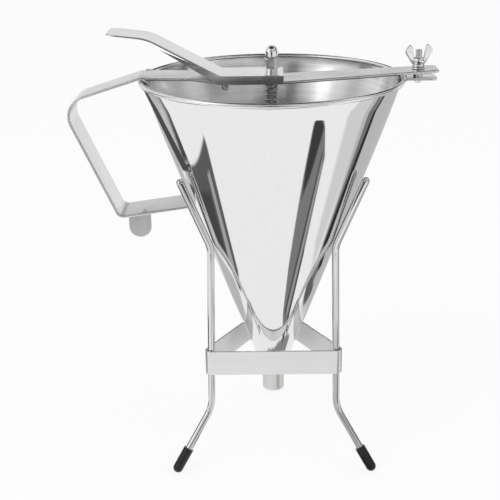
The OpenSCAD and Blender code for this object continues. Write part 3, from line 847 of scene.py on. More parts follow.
@dataclass(frozen=True)
class SoftenedSheet:
    """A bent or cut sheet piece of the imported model, with rounded edges.

    Attributes:
        node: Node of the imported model.
        name: Name of the new piece.
        body: Body that it rides on.
        material: Its finish.
        edge: Radius of the rounded edges.
        segments: Number of steps in each rounded edge.
        merged: Distance within which points are merged.
        flat_angle: Largest angle between faces that are merged, in degrees.
        sharp_angle: Smallest angle of an edge that is rounded.
        crisp_angle: Smallest angle that is shaded as an edge.
    """

    node: str
    name: str
    body: Body
    material: Material
    edge: float = 0.85 * MM
    segments: int = 4
    merged: float = 0.002 * MM
    flat_angle: float = 0.3
    sharp_angle: float = 35.0
    crisp_angle: float = 32.0

    def build(self) -> None:
        """Copies the node's mesh, merges its triangles, rounds its edges and puts it in the scene."""
        work = bmesh.new()
        work.from_mesh(NODES[self.node].data)
        bmesh.ops.remove_doubles(work, verts=work.verts, dist=self.merged)
        flat = math.radians(self.flat_angle)
        bmesh.ops.dissolve_limit(work, angle_limit=flat, verts=work.verts, edges=work.edges)
        break_edges(work, self.sharp_angle, self.edge, self.segments)
        mesh = from_bmesh(work, self.name, self.material)
        smooth_by_angle(mesh, self.crisp_angle)
        loose = placed(self.name + "_work", mesh)
        loose.modifiers.new("weighted", "WEIGHTED_NORMAL").keep_sharp = True
        new_piece(self.name, applied(loose), self.body, [self.node])


# The funnel


@dataclass(frozen=True)
class ConeShell:
    """The funnel's cone: polished outside, brushed inside, with its rim rolled outwards to a bead.

    Attributes:
        angle: Angle between wall and axis.
        wall: Thickness of the sheet.
        rim_r: Distance from the axis to the bead's middle.
        rim_z: Height of the bead's middle.
        bead_r: Radius of the bead.
        bead_turn: Angles at which the bead starts and ends, in degrees from straight out.
        tuck: How far the bead's start is tucked in and raised.
        crease: How far the crease under the bead lies out from the wall, and below the bead's middle.
        outside_drop: Depth below the bead's middle at which the straight outside ends.
        inside_drop: The same of the inside.
        end_r: Outer radius of the open lower end.
        steps: Number of steps round the axis.
        bead_steps: Number of points on the bead.
        wall_steps: Number of points up the wall.
    """

    angle: float = math.radians(20.1)
    wall: float = 1.0 * MM
    rim_r: float = 93.2 * MM
    rim_z: float = 299.0 * MM
    bead_r: float = 1.76 * MM
    bead_turn: Pair = (-62, 205)
    tuck: Pair = (0.35 * MM, 0.2 * MM)
    crease: Pair = (0.05 * MM, 1.3 * MM)
    outside_drop: float = 2.1 * MM
    inside_drop: float = 1.2 * MM
    end_r: float = 8.5 * MM
    steps: int = 288
    bead_steps: int = 22
    wall_steps: int = 24

    def outline(self) -> tuple[list[Pair], int, int]:
        """Outline of the sheet.

        Returns:
            The outline, the number of its first sides that lie outside, and that up to the bead's end.
        """
        wall_r = self.wall / math.cos(self.angle)
        slope = math.tan(self.angle)
        low_z = self.rim_z - (self.rim_r - self.end_r) / slope
        outside = [
            (self.end_r + (z - low_z) * slope, z)
            for z in np.linspace(low_z, self.rim_z - self.outside_drop, self.wall_steps)
        ]
        crease = (outside[-1][0] + self.crease[0], self.rim_z - self.crease[1])
        bead = [
            (self.rim_r + self.bead_r * math.cos(a), self.rim_z + self.bead_r * math.sin(a))
            for a in np.linspace(*(math.radians(turn) for turn in self.bead_turn), self.bead_steps)
        ]
        bead[0] = (bead[0][0] - self.tuck[0], bead[0][1] + self.tuck[1])
        inside = [
            (self.end_r - wall_r + (z - low_z) * slope, z)
            for z in np.linspace(self.rim_z - self.inside_drop, low_z, self.wall_steps)
        ]
        return [*outside, crease, *bead, *inside], len(outside), len(outside) + len(bead) - 1

    def build(self) -> None:
        """Turns the outline and dresses its sides."""
        outline, outside_sides, rim_sides = self.outline()
        mesh = turned_mesh("funnel_shell", outline, self.steps)
        for material in (MIRROR, RIM, INSIDE):
            mesh.materials.append(material)
        sides = np.arange(len(mesh.polygons)) % len(outline)
        index = (sides >= outside_sides).astype(np.int32) + (sides >= rim_sides)
        mesh.polygons.foreach_set("material_index", index.astype(np.int32))
        smooth_by_angle(mesh, 40)
        new_piece("funnel_shell", mesh, Body.FUNNEL, ["funnel_cone"])


@dataclass(frozen=True)
class ReturnSpring:
    """The spring between the bar's washer and the collar on the piston rod.

    Attributes:
        turns: Number of its turns.
        coil_r: Distance from the axis to the wire's middle.
        wire_r: Radius of the wire.
        steps_per_turn: Number of steps in each turn.
    """

    turns: float = 13.5
    coil_r: float = 4.35 * MM
    wire_r: float = 0.7 * MM
    steps_per_turn: int = 32

    def build(self) -> None:
        """Coils the spring in its place, between the bar and the rod's collar."""
        low, high = (corner.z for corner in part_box("return_spring"))
        sizes = {
            "Turns": self.turns,
            "Coil radius": self.coil_r,
            "Wire radius": self.wire_r,
            "Height": high - low,
            "Steps": int(self.turns * self.steps_per_turn) + 1,
            "Finish": SPRING,
        }
        mesh = grown(SPRING_TREE, sizes)
        mesh.transform(Matrix.Translation((AXIS_X, 0.0, low)))
        spring = new_piece("coil_spring", mesh, None, ["return_spring"])
        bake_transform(spring)


@dataclass(frozen=True)
class ThreadedRod:
    """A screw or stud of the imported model, with its thread cut and its lower end domed.

    Attributes:
        node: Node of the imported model.
        name: Name of the new piece.
        head_r: Radius of its domed lower end.
        head_h: Height of that end.
        dome_h: Height of the dome alone.
        radius: Outer radius of the thread.
        depth: Depth of the thread.
        pitch: Pitch of the thread.
        overlap: How far the thread reaches into the head.
        corner: Size of the head's broken upper corner.
        tip_r: Radius at which the head's open top ends, before it is closed.
        steps: Number of steps round the head.
        dome_steps: Number of points up the dome, from 4 degrees off its tip.
        rings: Number of rings in each turn of the thread.
    """

    node: str
    name: str
    head_r: float
    head_h: float
    dome_h: float
    radius: float = 2.5 * MM
    depth: float = 0.45 * MM
    pitch: float = 0.8 * MM
    overlap: float = 0.3 * MM
    corner: float = 0.1 * MM
    tip_r: float = 0.2 * MM
    steps: int = 36
    dome_steps: int = 10
    rings: int = 12

    def build(self) -> None:
        """Cuts the thread above the domed end and joins the two."""
        low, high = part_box(self.node)
        middle = (low.x + high.x) / 2
        top = low.z + self.head_h
        start = top - self.overlap
        length = high.z - start
        sizes = {
            "Radius": self.radius,
            "Depth": self.depth,
            "Pitch": self.pitch,
            "Length": length,
            "Rings": round(length / self.pitch * self.rings),
            "Finish": BRIGHT,
        }
        thread = grown(THREAD_TREE, sizes)
        thread.transform(Matrix.Translation((middle, 0.0, start)))
        dome = [
            (self.head_r * math.sin(a), low.z + self.dome_h * (1 - math.cos(a)))
            for a in np.linspace(math.radians(4), math.pi / 2, self.dome_steps)
        ]
        outline = [
            *dome, (self.head_r, top - self.corner), (self.head_r - self.corner, top), (self.tip_r, top)
        ]
        work = bmesh.new()
        work.from_mesh(turned_mesh("head", outline, self.steps, middle))
        bmesh.ops.holes_fill(work, edges=[e for e in work.edges if e.is_boundary], sides=0)
        work.from_mesh(thread)
        mesh = from_bmesh(work, self.name, BRIGHT)
        smooth_by_angle(mesh, 38)
        new_piece(self.name, mesh, Body.FUNNEL, [self.node])


@dataclass(frozen=True)
class DomedNut:
    """The domed nut on the piston rod: a softened hexagon that runs into a dome.

    Attributes:
        flats: Distance across the hexagon's flats.
        corner_bearing: Bearing of one corner from +X, in degrees.
        corner_power: Sharpness of the hexagon's corners.
        hex_h: Height of the hexagon.
        chamfer_h: Height of the chamfer at both of its ends.
        seat_inset: How much narrower the seat is than the flats, on each side.
        shoulder: Width and height of the step between the hexagon and the dome.
        dome_r: Radius of the dome.
        dome_end: Angle up to which the dome is drawn, from straight out.
        steps: Number of steps round the axis.
    """

    flats: float = 10.0 * MM
    corner_bearing: float = -76.0
    corner_power: float = 44.0
    hex_h: float = 6.8 * MM
    chamfer_h: float = 0.8 * MM
    seat_inset: float = 0.5 * MM
    shoulder: Pair = (0.25 * MM, 0.2 * MM)
    dome_r: float = 4.55 * MM
    dome_end: float = math.radians(86)
    steps: int = 144

    def levels(self, height: float) -> list[Pair]:
        """Largest radius and height of each level, from the seat to the top of the dome.

        Args:
            height: Height of the whole nut.

        Returns:
            The levels. The hexagon cuts each of them where it is narrower.
        """
        flat_r = self.flats / 2
        corner_r = flat_r / math.cos(math.radians(30))
        rise = [
            (flat_r + (corner_r - flat_r) * math.sin(a), self.chamfer_h * (1 - math.cos(a)))
            for a in np.linspace(0, math.pi / 2, 6)
        ]
        fall = [(r, self.hex_h - z) for r, z in reversed(rise)]
        wide, tall = self.shoulder
        shoulder = [(self.dome_r + wide, self.hex_h), (self.dome_r, self.hex_h + tall)]
        middle = height - self.dome_r
        dome = [
            (self.dome_r * math.cos(a), middle + self.dome_r * math.sin(a))
            for a in np.linspace(0, self.dome_end, 16)
        ]
        return [(flat_r - self.seat_inset, 0.0), *rise, *fall, *shoulder, *dome]

    def build(self) -> None:
        """Turns the levels, cut by the hexagon, and closes both ends."""
        low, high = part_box("cap_nut")
        levels = self.levels(high.z - low.z)
        flats = [math.radians(self.corner_bearing + 30 + 60 * k) for k in range(3)]
        points = []
        for a in (2 * math.pi * i / self.steps for i in range(self.steps)):
            near = sum(abs(math.cos(a - flat)) ** self.corner_power for flat in flats)
            hexagon = self.flats / 2 / near ** (1 / self.corner_power)
            for r, z in levels:
                reach = min(r, hexagon)
                points.append((AXIS_X + reach * math.cos(a), reach * math.sin(a), low.z + z))
        count = len(levels)
        seat = tuple(i * count for i in reversed(range(self.steps)))
        top = tuple(i * count + count - 1 for i in range(self.steps))
        mesh = new_mesh("domed_nut", points, [*round_faces(count, self.steps, count - 1), seat, top])
        mesh.materials.append(BRIGHT)
        smooth_by_angle(mesh, 30)
        new_piece("domed_nut", mesh, Body.PISTON, ["cap_nut"])


@dataclass(frozen=True)
class WingedNut:
    """The wing nut: a turned barrel on a base ring, and two wings with rounded edges.

    Attributes:
        barrel: Closed outline of the barrel and base ring, as radius and height in millimetres.
        wing: Outline of one wing, as distance from the axis and height in millimetres.
        thickness: Thickness of a wing at the barrel.
        taper: Share by which a wing is thinner at its tip.
        turn: Bearing of the first wing, in degrees from +X.
        edge: Radius of the wings' edges.
        edge_angle: Smallest angle of an edge that is rounded, in degrees.
        steps: Number of steps round the barrel.
    """

    barrel: tuple[Pair, ...] = (
        (2.6, 0.0), (4.0, 0.0), (4.35, 0.2), (4.5, 0.6), (4.5, 1.5), (4.3, 2.0), (3.85, 2.35), (3.9, 2.8),
        (4.1, 3.6), (4.15, 4.4), (4.0, 5.2), (3.7, 5.9), (3.3, 6.4), (2.9, 6.6), (2.6, 6.6),
    )
    wing: tuple[Pair, ...] = (
        (2.8, 1.8), (4.5, 1.9), (5.2, 2.6), (9.6, 9.2), (10.05, 10.2), (10.2, 11.2), (10.0, 12.2),
        (9.4, 13.2), (7.9, 14.9), (7.1, 15.45), (6.2, 15.45), (5.5, 15.0), (5.1, 14.2), (3.6, 6.6),
        (3.0, 5.6),
    )
    thickness: float = 2.2 * MM
    taper: float = 0.3
    turn: float = 15.0
    edge: float = 0.7 * MM
    edge_angle: float = 60.0
    steps: int = 64

    def add_wing(self, work: bmesh.types.BMesh, bearing: float) -> None:
        """Adds one wing.

        Args:
            work: Mesh that it is added to.
            bearing: Bearing at which it stands out from the origin, in degrees.
        """
        made = bmesh.new()
        face = made.faces.new([made.verts.new((x * MM, -self.thickness / 2, z * MM)) for x, z in self.wing])
        pulled = bmesh.ops.extrude_face_region(made, geom=[face])
        moved = [v for v in pulled["geom"] if isinstance(v, bmesh.types.BMVert)]
        bmesh.ops.translate(made, verts=moved, vec=(0.0, self.thickness, 0.0))
        bmesh.ops.recalc_face_normals(made, faces=made.faces)
        break_edges(made, self.edge_angle, self.edge, 4)
        top = max(z for _, z in self.wing) * MM
        for v in made.verts:
            v.co.y *= 1 - self.taper * v.co.z / top
        made.transform(Matrix.Rotation(math.radians(bearing), 4, "Z"))
        work.from_mesh(from_bmesh(made, "wing"))

    def build(self) -> None:
        """Turns the barrel and adds the wings."""
        work = bmesh.new()
        work.from_mesh(turned_mesh("barrel", [(r * MM, z * MM) for r, z in self.barrel], self.steps, 0.0))
        for bearing in (self.turn, self.turn + 180.0):
            self.add_wing(work, bearing)
        mesh = from_bmesh(work, "winged_nut", BRIGHT)
        mesh.transform(Matrix.Translation((middle_x("clamp_stud"), 0.0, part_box("wing_nut")[0].z)))
        smooth_by_angle(mesh, 40)
        new_piece("winged_nut", mesh, Body.WING, ["wing_nut"])


# The weld seams and the stand


@dataclass(frozen=True)
class WeldSeam:
    """A rippled bead of weld along a line.

    Attributes:
        name: Name of the piece.
        line: Points of its middle line.
        radius: Radius of the bead.
        body: Body that it rides on.
        ripples: Depth of the ripples as a share of the radius, and their length.
        step: Length of one step along the bead.
    """

    name: str
    line: Sequence[Vector]
    radius: float
    body: Body = Body.FUNNEL
    ripples: Pair = (0.3, 1.1 * MM)
    step: float = 0.22 * MM

    def build(self) -> None:
        """Sweeps the bead along its line."""
        fine = []
        for a, b in zip(self.line, self.line[1:]):
            count = max(1, round((b - a).length / self.step))
            fine.extend(a.lerp(b, i / count) for i in range(count))
        fine.append(self.line[-1])
        mesh = wire_mesh(fine, self.radius, WELD, 4, self.ripples)
        smooth_by_angle(mesh, 50)
        new_piece(self.name, mesh, self.body)


@dataclass(frozen=True)
class FunnelSeams:
    """Seams that weld the handle strap to the cone, the tab to the strap and the lug to the rim.

    Attributes:
        strap_corner: Distance from the axis and height of the strap's lower corner.
        strap_slope: Rise of its lower run for each step towards the cone.
        strap_half: Half of its thickness.
        strap_reach: How far the seams reach across it from its middle, in millimetres.
        apex_z: Height at which the cone's outside would come to a point.
        tab_half: Distance of the tab's seams from its middle plane, and from its ends.
        lug_insets: How deep the lug's upper and lower seam lie in the rim.
        radii: Radii of the seams at the strap, the tab and the lug.
    """

    strap_corner: Pair = (-112.8 * MM, 200.2 * MM)
    strap_slope: float = math.tan(math.radians(8.1))
    strap_half: float = 1.0 * MM
    strap_reach: float = 14.5
    apex_z: float = 44.319 * MM
    tab_half: float = 1.2 * MM
    lug_insets: Pair = (0.1 * MM, 0.5 * MM)
    radii: Triple = (1.0 * MM, 0.7 * MM, 0.8 * MM)

    def strap_z(self, x: float, side: float) -> float:
        """Height of the strap's lower run at a distance from the axis, on its upper or lower side."""
        return self.strap_corner[1] + (x - self.strap_corner[0]) * self.strap_slope + side * self.strap_half

    def on_cone(self, y: float, side: float) -> Vector:
        """Point where the strap meets the cone.

        Args:
            y: Place across the strap.
            side: 1 on its upper side and -1 on its lower one.

        Returns:
            The point.
        """
        # From a first guess, each round puts the point on the cone at the strap's height there
        x = -60.0 * MM
        for _ in range(8):
            radius = (self.strap_z(x, side) - self.apex_z) * math.tan(ConeShell.angle)
            x = -math.sqrt(radius * radius - y * y)
        return Vector((AXIS_X + x, y, self.strap_z(x, side)))

    def build(self) -> None:
        """Lays the seams."""
        strap_radius, tab_radius, lug_radius = self.radii
        across = [y * MM for y in np.linspace(-self.strap_reach, self.strap_reach, 15)]
        for name, side in (("upper", 1.0), ("lower", -1.0)):
            line = [self.on_cone(float(y), side) for y in across]
            WeldSeam(f"strap_weld_{name}", line, strap_radius).build()
        low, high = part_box("rest_tab")
        for name, y in (("front", -self.tab_half), ("back", self.tab_half)):
            ends = (low.x + self.tab_half, high.x - self.tab_half)
            line = [Vector((x, y, self.strap_z(x - AXIS_X, -1.0))) for x in ends]
            WeldSeam(f"tab_weld_{name}", line, tab_radius).build()
        low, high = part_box("clamp_lug")
        for name, z, inset in zip(("upper", "lower"), (high.z, low.z), self.lug_insets):
            reach = ConeShell.rim_r + ConeShell.bead_r - inset
            bearings = (math.radians(t) for t in range(-5, 6))
            line = [Vector((AXIS_X + reach * math.cos(a), reach * math.sin(a), z)) for a in bearings]
            WeldSeam(f"lug_weld_{name}", line, lug_radius).build()


@dataclass(frozen=True)
class WireLegs:
    """The three bent wire legs, and the seams that weld them to the band.

    Attributes:
        wire_r: Radius of the wire.
        arm_end: Distance from the axis and height of the arm's end.
        upper_bend: The same of the upper bend.
        lower_bend: The same of the lower bend.
        foot_end: The same of the foot's end, inside its cap.
        bend_radii: Bend radii of the upper and lower bend.
        turns: Bearing of each leg, in degrees from +X.
        seam_heights: Heights between which each leg is welded to the band.
        seam_place: How far the seams lie outwards from the leg's middle, and to its sides.
        seam_r: Radius of the seams.
    """

    wire_r: float = 2.75 * MM
    arm_end: Pair = (75.232 * MM, 233.0 * MM)
    upper_bend: Pair = (52.735 * MM, 180.0 * MM)
    lower_bend: Pair = (55.635 * MM, 48.0 * MM)
    foot_end: Pair = (86.563 * MM, 3.5 * MM)
    bend_radii: Pair = (22.0 * MM, 26.0 * MM)
    turns: tuple[tuple[str, float], ...] = (("left", -150.0), ("right", -30.0), ("rear", 90.0))
    seam_heights: Pair = (80.0 * MM, 95.5 * MM)
    seam_place: Pair = (1.1 * MM, 3.0 * MM)
    seam_r: float = 0.75 * MM

    def place(self, bearing: float, point: Pair, aside: float = 0.0) -> Vector:
        """Puts a point of the leg's own plane in the row frame.

        Args:
            bearing: Bearing of the leg, in degrees.
            point: Distance from the axis, and height.
            aside: Distance to the side of the leg's plane.

        Returns:
            The point.
        """
        a = math.radians(bearing)
        out, side = Vector((math.cos(a), math.sin(a), 0.0)), Vector((-math.sin(a), math.cos(a), 0.0))
        return Vector((AXIS_X, 0.0, point[1])) + out * point[0] + side * aside

    def run_r(self, height: float) -> float:
        """Distance of the leg's upright run from the axis at a height."""
        share = (self.upper_bend[1] - height) / (self.upper_bend[1] - self.lower_bend[1])
        return self.upper_bend[0] + (self.lower_bend[0] - self.upper_bend[0]) * share

    def build(self) -> None:
        """Bends the legs and lays their seams."""
        corners = (self.arm_end, self.upper_bend, self.lower_bend, self.foot_end)
        outwards, sideways = self.seam_place
        for side, bearing in self.turns:
            line = bent_line([self.place(bearing, corner) for corner in corners], self.bend_radii)
            mesh = wire_mesh(line, self.wire_r, WIRE)
            smooth_by_angle(mesh, 60)
            new_piece(f"wire_leg_{side}", mesh, Body.STAND, [f"stand_leg_{side}"])
            for edge, aside in (("a", -sideways), ("b", sideways)):
                seam = [self.place(bearing, (self.run_r(z) + outwards, z), aside) for z in self.seam_heights]
                WeldSeam(f"leg_weld_{side}_{edge}", seam, self.seam_r, Body.STAND).build()


# Dressing of the nodes that keep their own mesh


DRESSED = {
    TURNED: ("outlet_bush", "valve_plug", "spring_collar"),
    BRIGHT: (
        "clamp_spacer", "clamp_washer", "stop_nut", "spring_washer", "lever_pin", "piston_rod", "nut_collar",
        "collar_pin",
    ),
    RUBBER: ("foot_cap_left", "foot_cap_right", "foot_cap_rear"),
}


def dress_nodes() -> None:
    """Gives each node that keeps its own mesh its finish."""
    for material, nodes in DRESSED.items():
        for node in nodes:
            for slot in NODES[node].material_slots:
                slot.material = material
            log.info("%s: %s", node, material.name)


# Studio


@dataclass(frozen=True)
class PhotoCamera:
    """Camera at the photograph's viewing angle, for an image of 500 by 500 pixels.

    Attributes:
        place: Its place from the funnel's axis.
        pitch: How far it looks down.
        yaw: How far it looks to the right.
        roll: How far it is tilted.
        focal_pixels: Its focal length in pixels.
        image_pixels: Width of the image.
        sensor: Width of its sensor, in millimetres.
        clip: Nearest and furthest distance that it sees.
    """

    place: Triple = (-9.365 * MM, -700.0 * MM, 433.159 * MM)
    pitch: float = math.radians(20.766)
    yaw: float = math.radians(-0.64)
    roll: float = math.radians(-0.805)
    focal_pixels: float = 983.666
    image_pixels: int = 500
    sensor: float = 36.0
    clip: Pair = (0.01, 60.0)

    def build(self) -> None:
        """Makes the camera and sets it as the scene's."""
        east, north = math.sin(self.yaw), math.cos(self.yaw)
        ahead = Vector((east * math.cos(self.pitch), north * math.cos(self.pitch), -math.sin(self.pitch)))
        level = Vector((north, -east, 0.0))
        upright = level.cross(ahead)
        right = math.cos(self.roll) * level + math.sin(self.roll) * upright
        up = math.cos(self.roll) * upright - math.sin(self.roll) * level
        data = bpy.data.cameras.new("photo camera")
        data.sensor_width = self.sensor
        data.lens = self.focal_pixels / self.image_pixels * self.sensor
        data.clip_start, data.clip_end = self.clip
        camera = placed("photo camera", data)
        turn = Matrix((right, up, -ahead)).transposed()
        x, y, z = self.place
        camera.matrix_world = Matrix.Translation((AXIS_X + x, y, z)) @ turn.to_4x4()
        bpy.context.scene.camera = camera


def only_in_reflections(card: Object) -> None:
    """Shows a card to reflections and to nothing else.

    Args:
        card: The card.
    """
    for seen_by in ("camera", "diffuse", "transmission", "shadow"):
        setattr(card, f"visible_{seen_by}", False)


@dataclass(frozen=True)
class Flag:
    """A soft-edged card that only reflections see, as used to draw dark lines on polished metal.

    Attributes:
        name: Name of the card.
        tone: Its brightness.
        soft: Width of its soft edge, in millimetres.
        height: Its height above the floor, in millimetres. For an upright card, its place along X.
        corners: Its outline in plan, in millimetres from the funnel's axis.
        upright: Whether it stands, with its corners given as place along Y and height.
    """

    name: str
    tone: float
    soft: float
    height: float
    corners: tuple[Pair, ...]
    upright: bool = False

    def place(self, first: float, second: float) -> Triple:
        """Puts a corner in the row frame."""
        x, y, z = (self.height, first, second) if self.upright else (first, second, self.height)
        return (AXIS_X + x * MM, y * MM, z * MM)

    def build(self) -> None:
        """Makes the card, with a cover attribute that falls to nothing at its edge."""
        work = bmesh.new()
        face = work.faces.new([work.verts.new(self.place(*corner)) for corner in self.corners])
        face.normal_update()
        bmesh.ops.inset_region(
            work, faces=[face], thickness=self.soft * MM, use_boundary=True, use_even_offset=True
        )
        cover = work.verts.layers.float.new("cover")
        outer = {v for e in work.edges if e.is_boundary for v in e.verts}
        for v in work.verts:
            v[cover] = 0.0 if v in outer else 1.0
        only_in_reflections(placed(self.name, from_bmesh(work, self.name, self.material())))

    def material(self) -> Material:
        """Makes the card's tone, thinned towards its edge.

        Returns:
            The material.
        """
        material, w, shader = new_material(self.name)
        w.tree.nodes.remove(shader)
        cover = w.add("ShaderNodeAttribute", attribute_name="cover").outputs["Fac"]
        ease = w.result("ShaderNodeMapRange", {"Value": cover}, interpolation_type="SMOOTHSTEP")
        glow = w.result("ShaderNodeEmission", {"Color": (self.tone, self.tone, self.tone, 1.0)})
        clear = w.result("ShaderNodeBsdfTransparent")
        w.show(w.result("ShaderNodeMixShader", {0: ease, 1: clear, 2: glow}))
        return material


@dataclass(frozen=True)
class Cyclorama:
    """Upright ring of paper round the set, seen only in reflections, with its tone by bearing.

    Attributes:
        name: Name of the ring.
        tones: Bearing in degrees, from the photographing side towards +X, and tone there.
        low: Height of its lower edge.
        high: Height of its upper edge.
        radius: Radius of the ring.
        steps: Number of steps round it.
    """

    name: str
    tones: tuple[Pair, ...]
    low: float
    high: float
    radius: float = 2.2
    steps: int = 360

    def build(self) -> None:
        """Makes the ring with a tone attribute, and its material."""
        bearings = np.linspace(-180.0, 180.0, self.steps, endpoint=False)
        known = np.array(self.tones)
        tone = np.interp(bearings, known[:, 0], known[:, 1])
        points = [
            (AXIS_X + self.radius * math.sin(a), -self.radius * math.cos(a), height)
            for a in (math.radians(float(bearing)) for bearing in bearings)
            for height in (self.low, self.high)
        ]
        mesh = new_mesh(self.name, points, round_faces(2, self.steps, 1))
        shades = np.repeat(tone, 2).astype(np.float32)
        mesh.attributes.new("tone", "FLOAT", "POINT").data.foreach_set("value", shades)
        material, w, shader = new_material(self.name)
        w.tree.nodes.remove(shader)
        shade = w.add("ShaderNodeAttribute", attribute_name="tone").outputs["Fac"]
        w.show(w.result("ShaderNodeEmission", {"Strength": shade}))
        mesh.materials.append(material)
        only_in_reflections(placed(self.name, mesh))


def disc(radius: float, centre_x: float = 0.0, steps: int = 24) -> tuple[Pair, ...]:
    """Outline of a round card, in millimetres from the funnel's axis."""
    turns = [math.tau * i / steps for i in range(steps)]
    return tuple((centre_x + radius * math.cos(a), radius * math.sin(a)) for a in turns)


def lower_tones(back: float, front: Sequence[Pair]) -> tuple[Pair, ...]:
    """Tones of a lower ring, with a dark gap on each side of the given tones in front.

    Args:
        back: Tone behind the set.
        front: Bearings and tones in front.

    Returns:
        Bearing and tone all the way round.
    """
    left = ((-180, back), (-130, 0.95), (-120, 0.05), (-96, 0.05), (-90, 0.9))
    right = ((84, 0.9), (90, 0.05), (118, 0.05), (128, 0.95), (180, back))
    return (*left, *front, *right)


FLAGS = (
    Flag("side paper", 0.54, 60, 0.5, (
        (110, 10), (420, 0), (900, 40), (1300, 900), (-1300, 900), (-900, 380), (-330, 330), (-60, 260),
        (90, 90),
    )),
    Flag("right paper", 0.72, 30, 0.7, (
        (150, 20), (190, -50), (420, -130), (900, -120), (900, 150), (420, 60),
    )),
    Flag("left flag", 0.12, 8, 1.0, (
        (-372, 215), (-354, 60), (-340, -55), (-334, -101), (-312, -98), (-162, -26), (-144, 0),
        (-148, 18), (-182, 40), (-200, 80), (-215, 150), (-225, 205), (-300, 228),
    )),
    Flag("left flag core", 0.07, 14, 1.3, (
        (-322, 182), (-312, 60), (-290, -10), (-200, 30), (-212, 80), (-240, 140), (-290, 150),
    )),
    Flag("left strip", 0.42, 7, 1.6, (
        (-306, -26), (-300, -58), (-172, -8), (-154, 4), (-160, 26), (-188, 34), (-250, -2),
    )),
    Flag("front right flag", 0.22, 6, 1.0, (
        (50, -36), (100, -57), (150, -82), (200, -113), (256, -147), (261, -199), (250, -228),
        (223, -252), (199, -243), (150, -202), (110, -162), (75, -122), (50, -80),
    )),
    Flag("front right end", 0.05, 10, 1.3, (
        (130, -168), (180, -172), (256, -195), (259, -207), (248, -227), (221, -250), (200, -242),
        (155, -203),
    )),
    Flag("front right edge", 0.05, 5, 1.6, (
        (50, -36), (100, -57), (152, -83), (154, -97), (104, -73), (54, -50),
    )),
    Flag("front right streak", 0.08, 4, 1.6, (
        (58, -66), (150, -110), (244, -162), (244, -174), (150, -124), (60, -78),
    )),
    Flag("front right light", 0.42, 4, 1.7, (
        (70, -60), (150, -98), (240, -146), (240, -156), (150, -110), (72, -72),
    )),
    Flag("right wedge", 0.2, 12, 1.0, (
        (120, 8), (178, 88), (330, 112), (800, 300), (800, 210), (500, 104), (200, 28),
    )),
    Flag("right flag", 0.03, 7, 1.5, (
        (180, 84), (190, 122), (300, 128), (500, 222), (900, 420), (900, 350), (500, 176), (330, 88),
        (225, 48),
    )),
    Flag("front flag", 0.05, 40, 1.0, (
        (-1000, -480), (-1000, -900), (-250, -1000), (-530, -2125), (500, -2134), (250, -1000),
        (1000, -900), (1000, -480),
    )),
    Flag("handle shade", 0.08, 3, -99, (
        (-15, 208), (15, 208), (15, 292), (-15, 292),
    ), upright=True),
    Flag("left near paper", 0.54, 12, 0.8, (
        (-122, 36), (-108, 66), (-90, 150), (-86, 250), (-210, 262), (-222, 205), (-213, 150), (-198, 80),
        (-180, 40), (-150, 22),
    )),
    Flag("right near shade", 0.13, 10, 1.2, (
        (140, 8), (164, -4), (180, 24), (178, 60), (170, 98), (152, 102), (140, 74), (131, 40),
    )),
    Flag("overhead", 0.05, 100, 2400, disc(1500)),
    Flag("nut shade", 0.04, 6, 375, disc(40)),
    Flag("wing shade", 0.04, 6, 372, disc(34, 104)),
    # Painted shade: a dark card for the shade that falls on the floor under the funnel, which the mostly
    # white floor doesn't show in reflections
    Flag("under the outlet", 0.28, 4, 0.6, (
        (-62, -8), (-54, -34), (-30, -54), (-5, -60), (30, -61), (60, -50), (84, -28), (92, -6), (70, -4),
        (62, -20), (48, -34), (28, -42), (-5, -40), (-26, -32), (-40, -18), (-46, -6),
    )),
)

HIGH_TONES = (
    (-180, 0.08), (-160, 0.08), (-150, 0.6), (-130, 0.9), (-116, 0.9), (-108, 0.78), (-98, 0.6),
    (-90, 0.65), (-84, 0.82), (-74, 0.95), (-68, 1.2), (-63, 1.7), (-56, 1.7), (-50, 1.2), (-44, 0.9),
    (-38, 0.75), (-32, 0.55), (-26, 0.27), (-19, 0.27), (-15, 0.5), (-7, 0.5), (-5, 0.06), (5, 0.06),
    (7, 0.55), (12, 0.6), (24, 0.58), (30, 0.5), (66, 0.5), (74, 0.55), (84, 0.65), (96, 0.65),
    (104, 0.52), (112, 0.5), (118, 0.3), (124, 0.12), (134, 0.08), (148, 0.08), (180, 0.08),
)
SHOULDER_TONES = ((-180, 0.9), (-145, 0.9), *HIGH_TONES[3:-5], (122, 0.62), (130, 0.9), (180, 0.9))
MIDDLE_TONES = lower_tones(0.85, ((-7, 0.9), (-5, 0.05), (5, 0.05), (7, 0.9)))
LOW_TONES = lower_tones(0.9, ((-18, 0.9), (-14, 0.04), (13, 0.04), (17, 0.9)))

RINGS = (
    Cyclorama("high ring", HIGH_TONES, 1.0, 2.4),
    Cyclorama("shoulder ring", SHOULDER_TONES, 0.62, 1.0),
    Cyclorama("middle ring", MIDDLE_TONES, 0.25, 0.62),
    Cyclorama("low ring", LOW_TONES, 0.004, 0.25),
)


@dataclass(frozen=True)
class Lamp:
    """Soft square lamp that reflections don't see.

    Attributes:
        name: Name of the lamp.
        place: Where it hangs.
        power: Its power in watts.
        size: Side of its panel.
        aim: Where it points.
    """

    name: str
    place: Triple
    power: float
    size: float = 1.2
    aim: Triple = (0.0, 0.0, 0.16)

    def build(self) -> None:
        """Hangs and aims the lamp."""
        data = bpy.data.lights.new(self.name, "AREA")
        data.shape = "SQUARE"
        data.size = self.size
        data.energy = self.power
        lamp = placed(self.name, data)
        lamp.location = self.place
        lamp.rotation_mode = "QUATERNION"
        lamp.rotation_quaternion = (Vector(self.aim) - Vector(self.place)).to_track_quat("-Z", "Y")
        lamp.visible_glossy = False


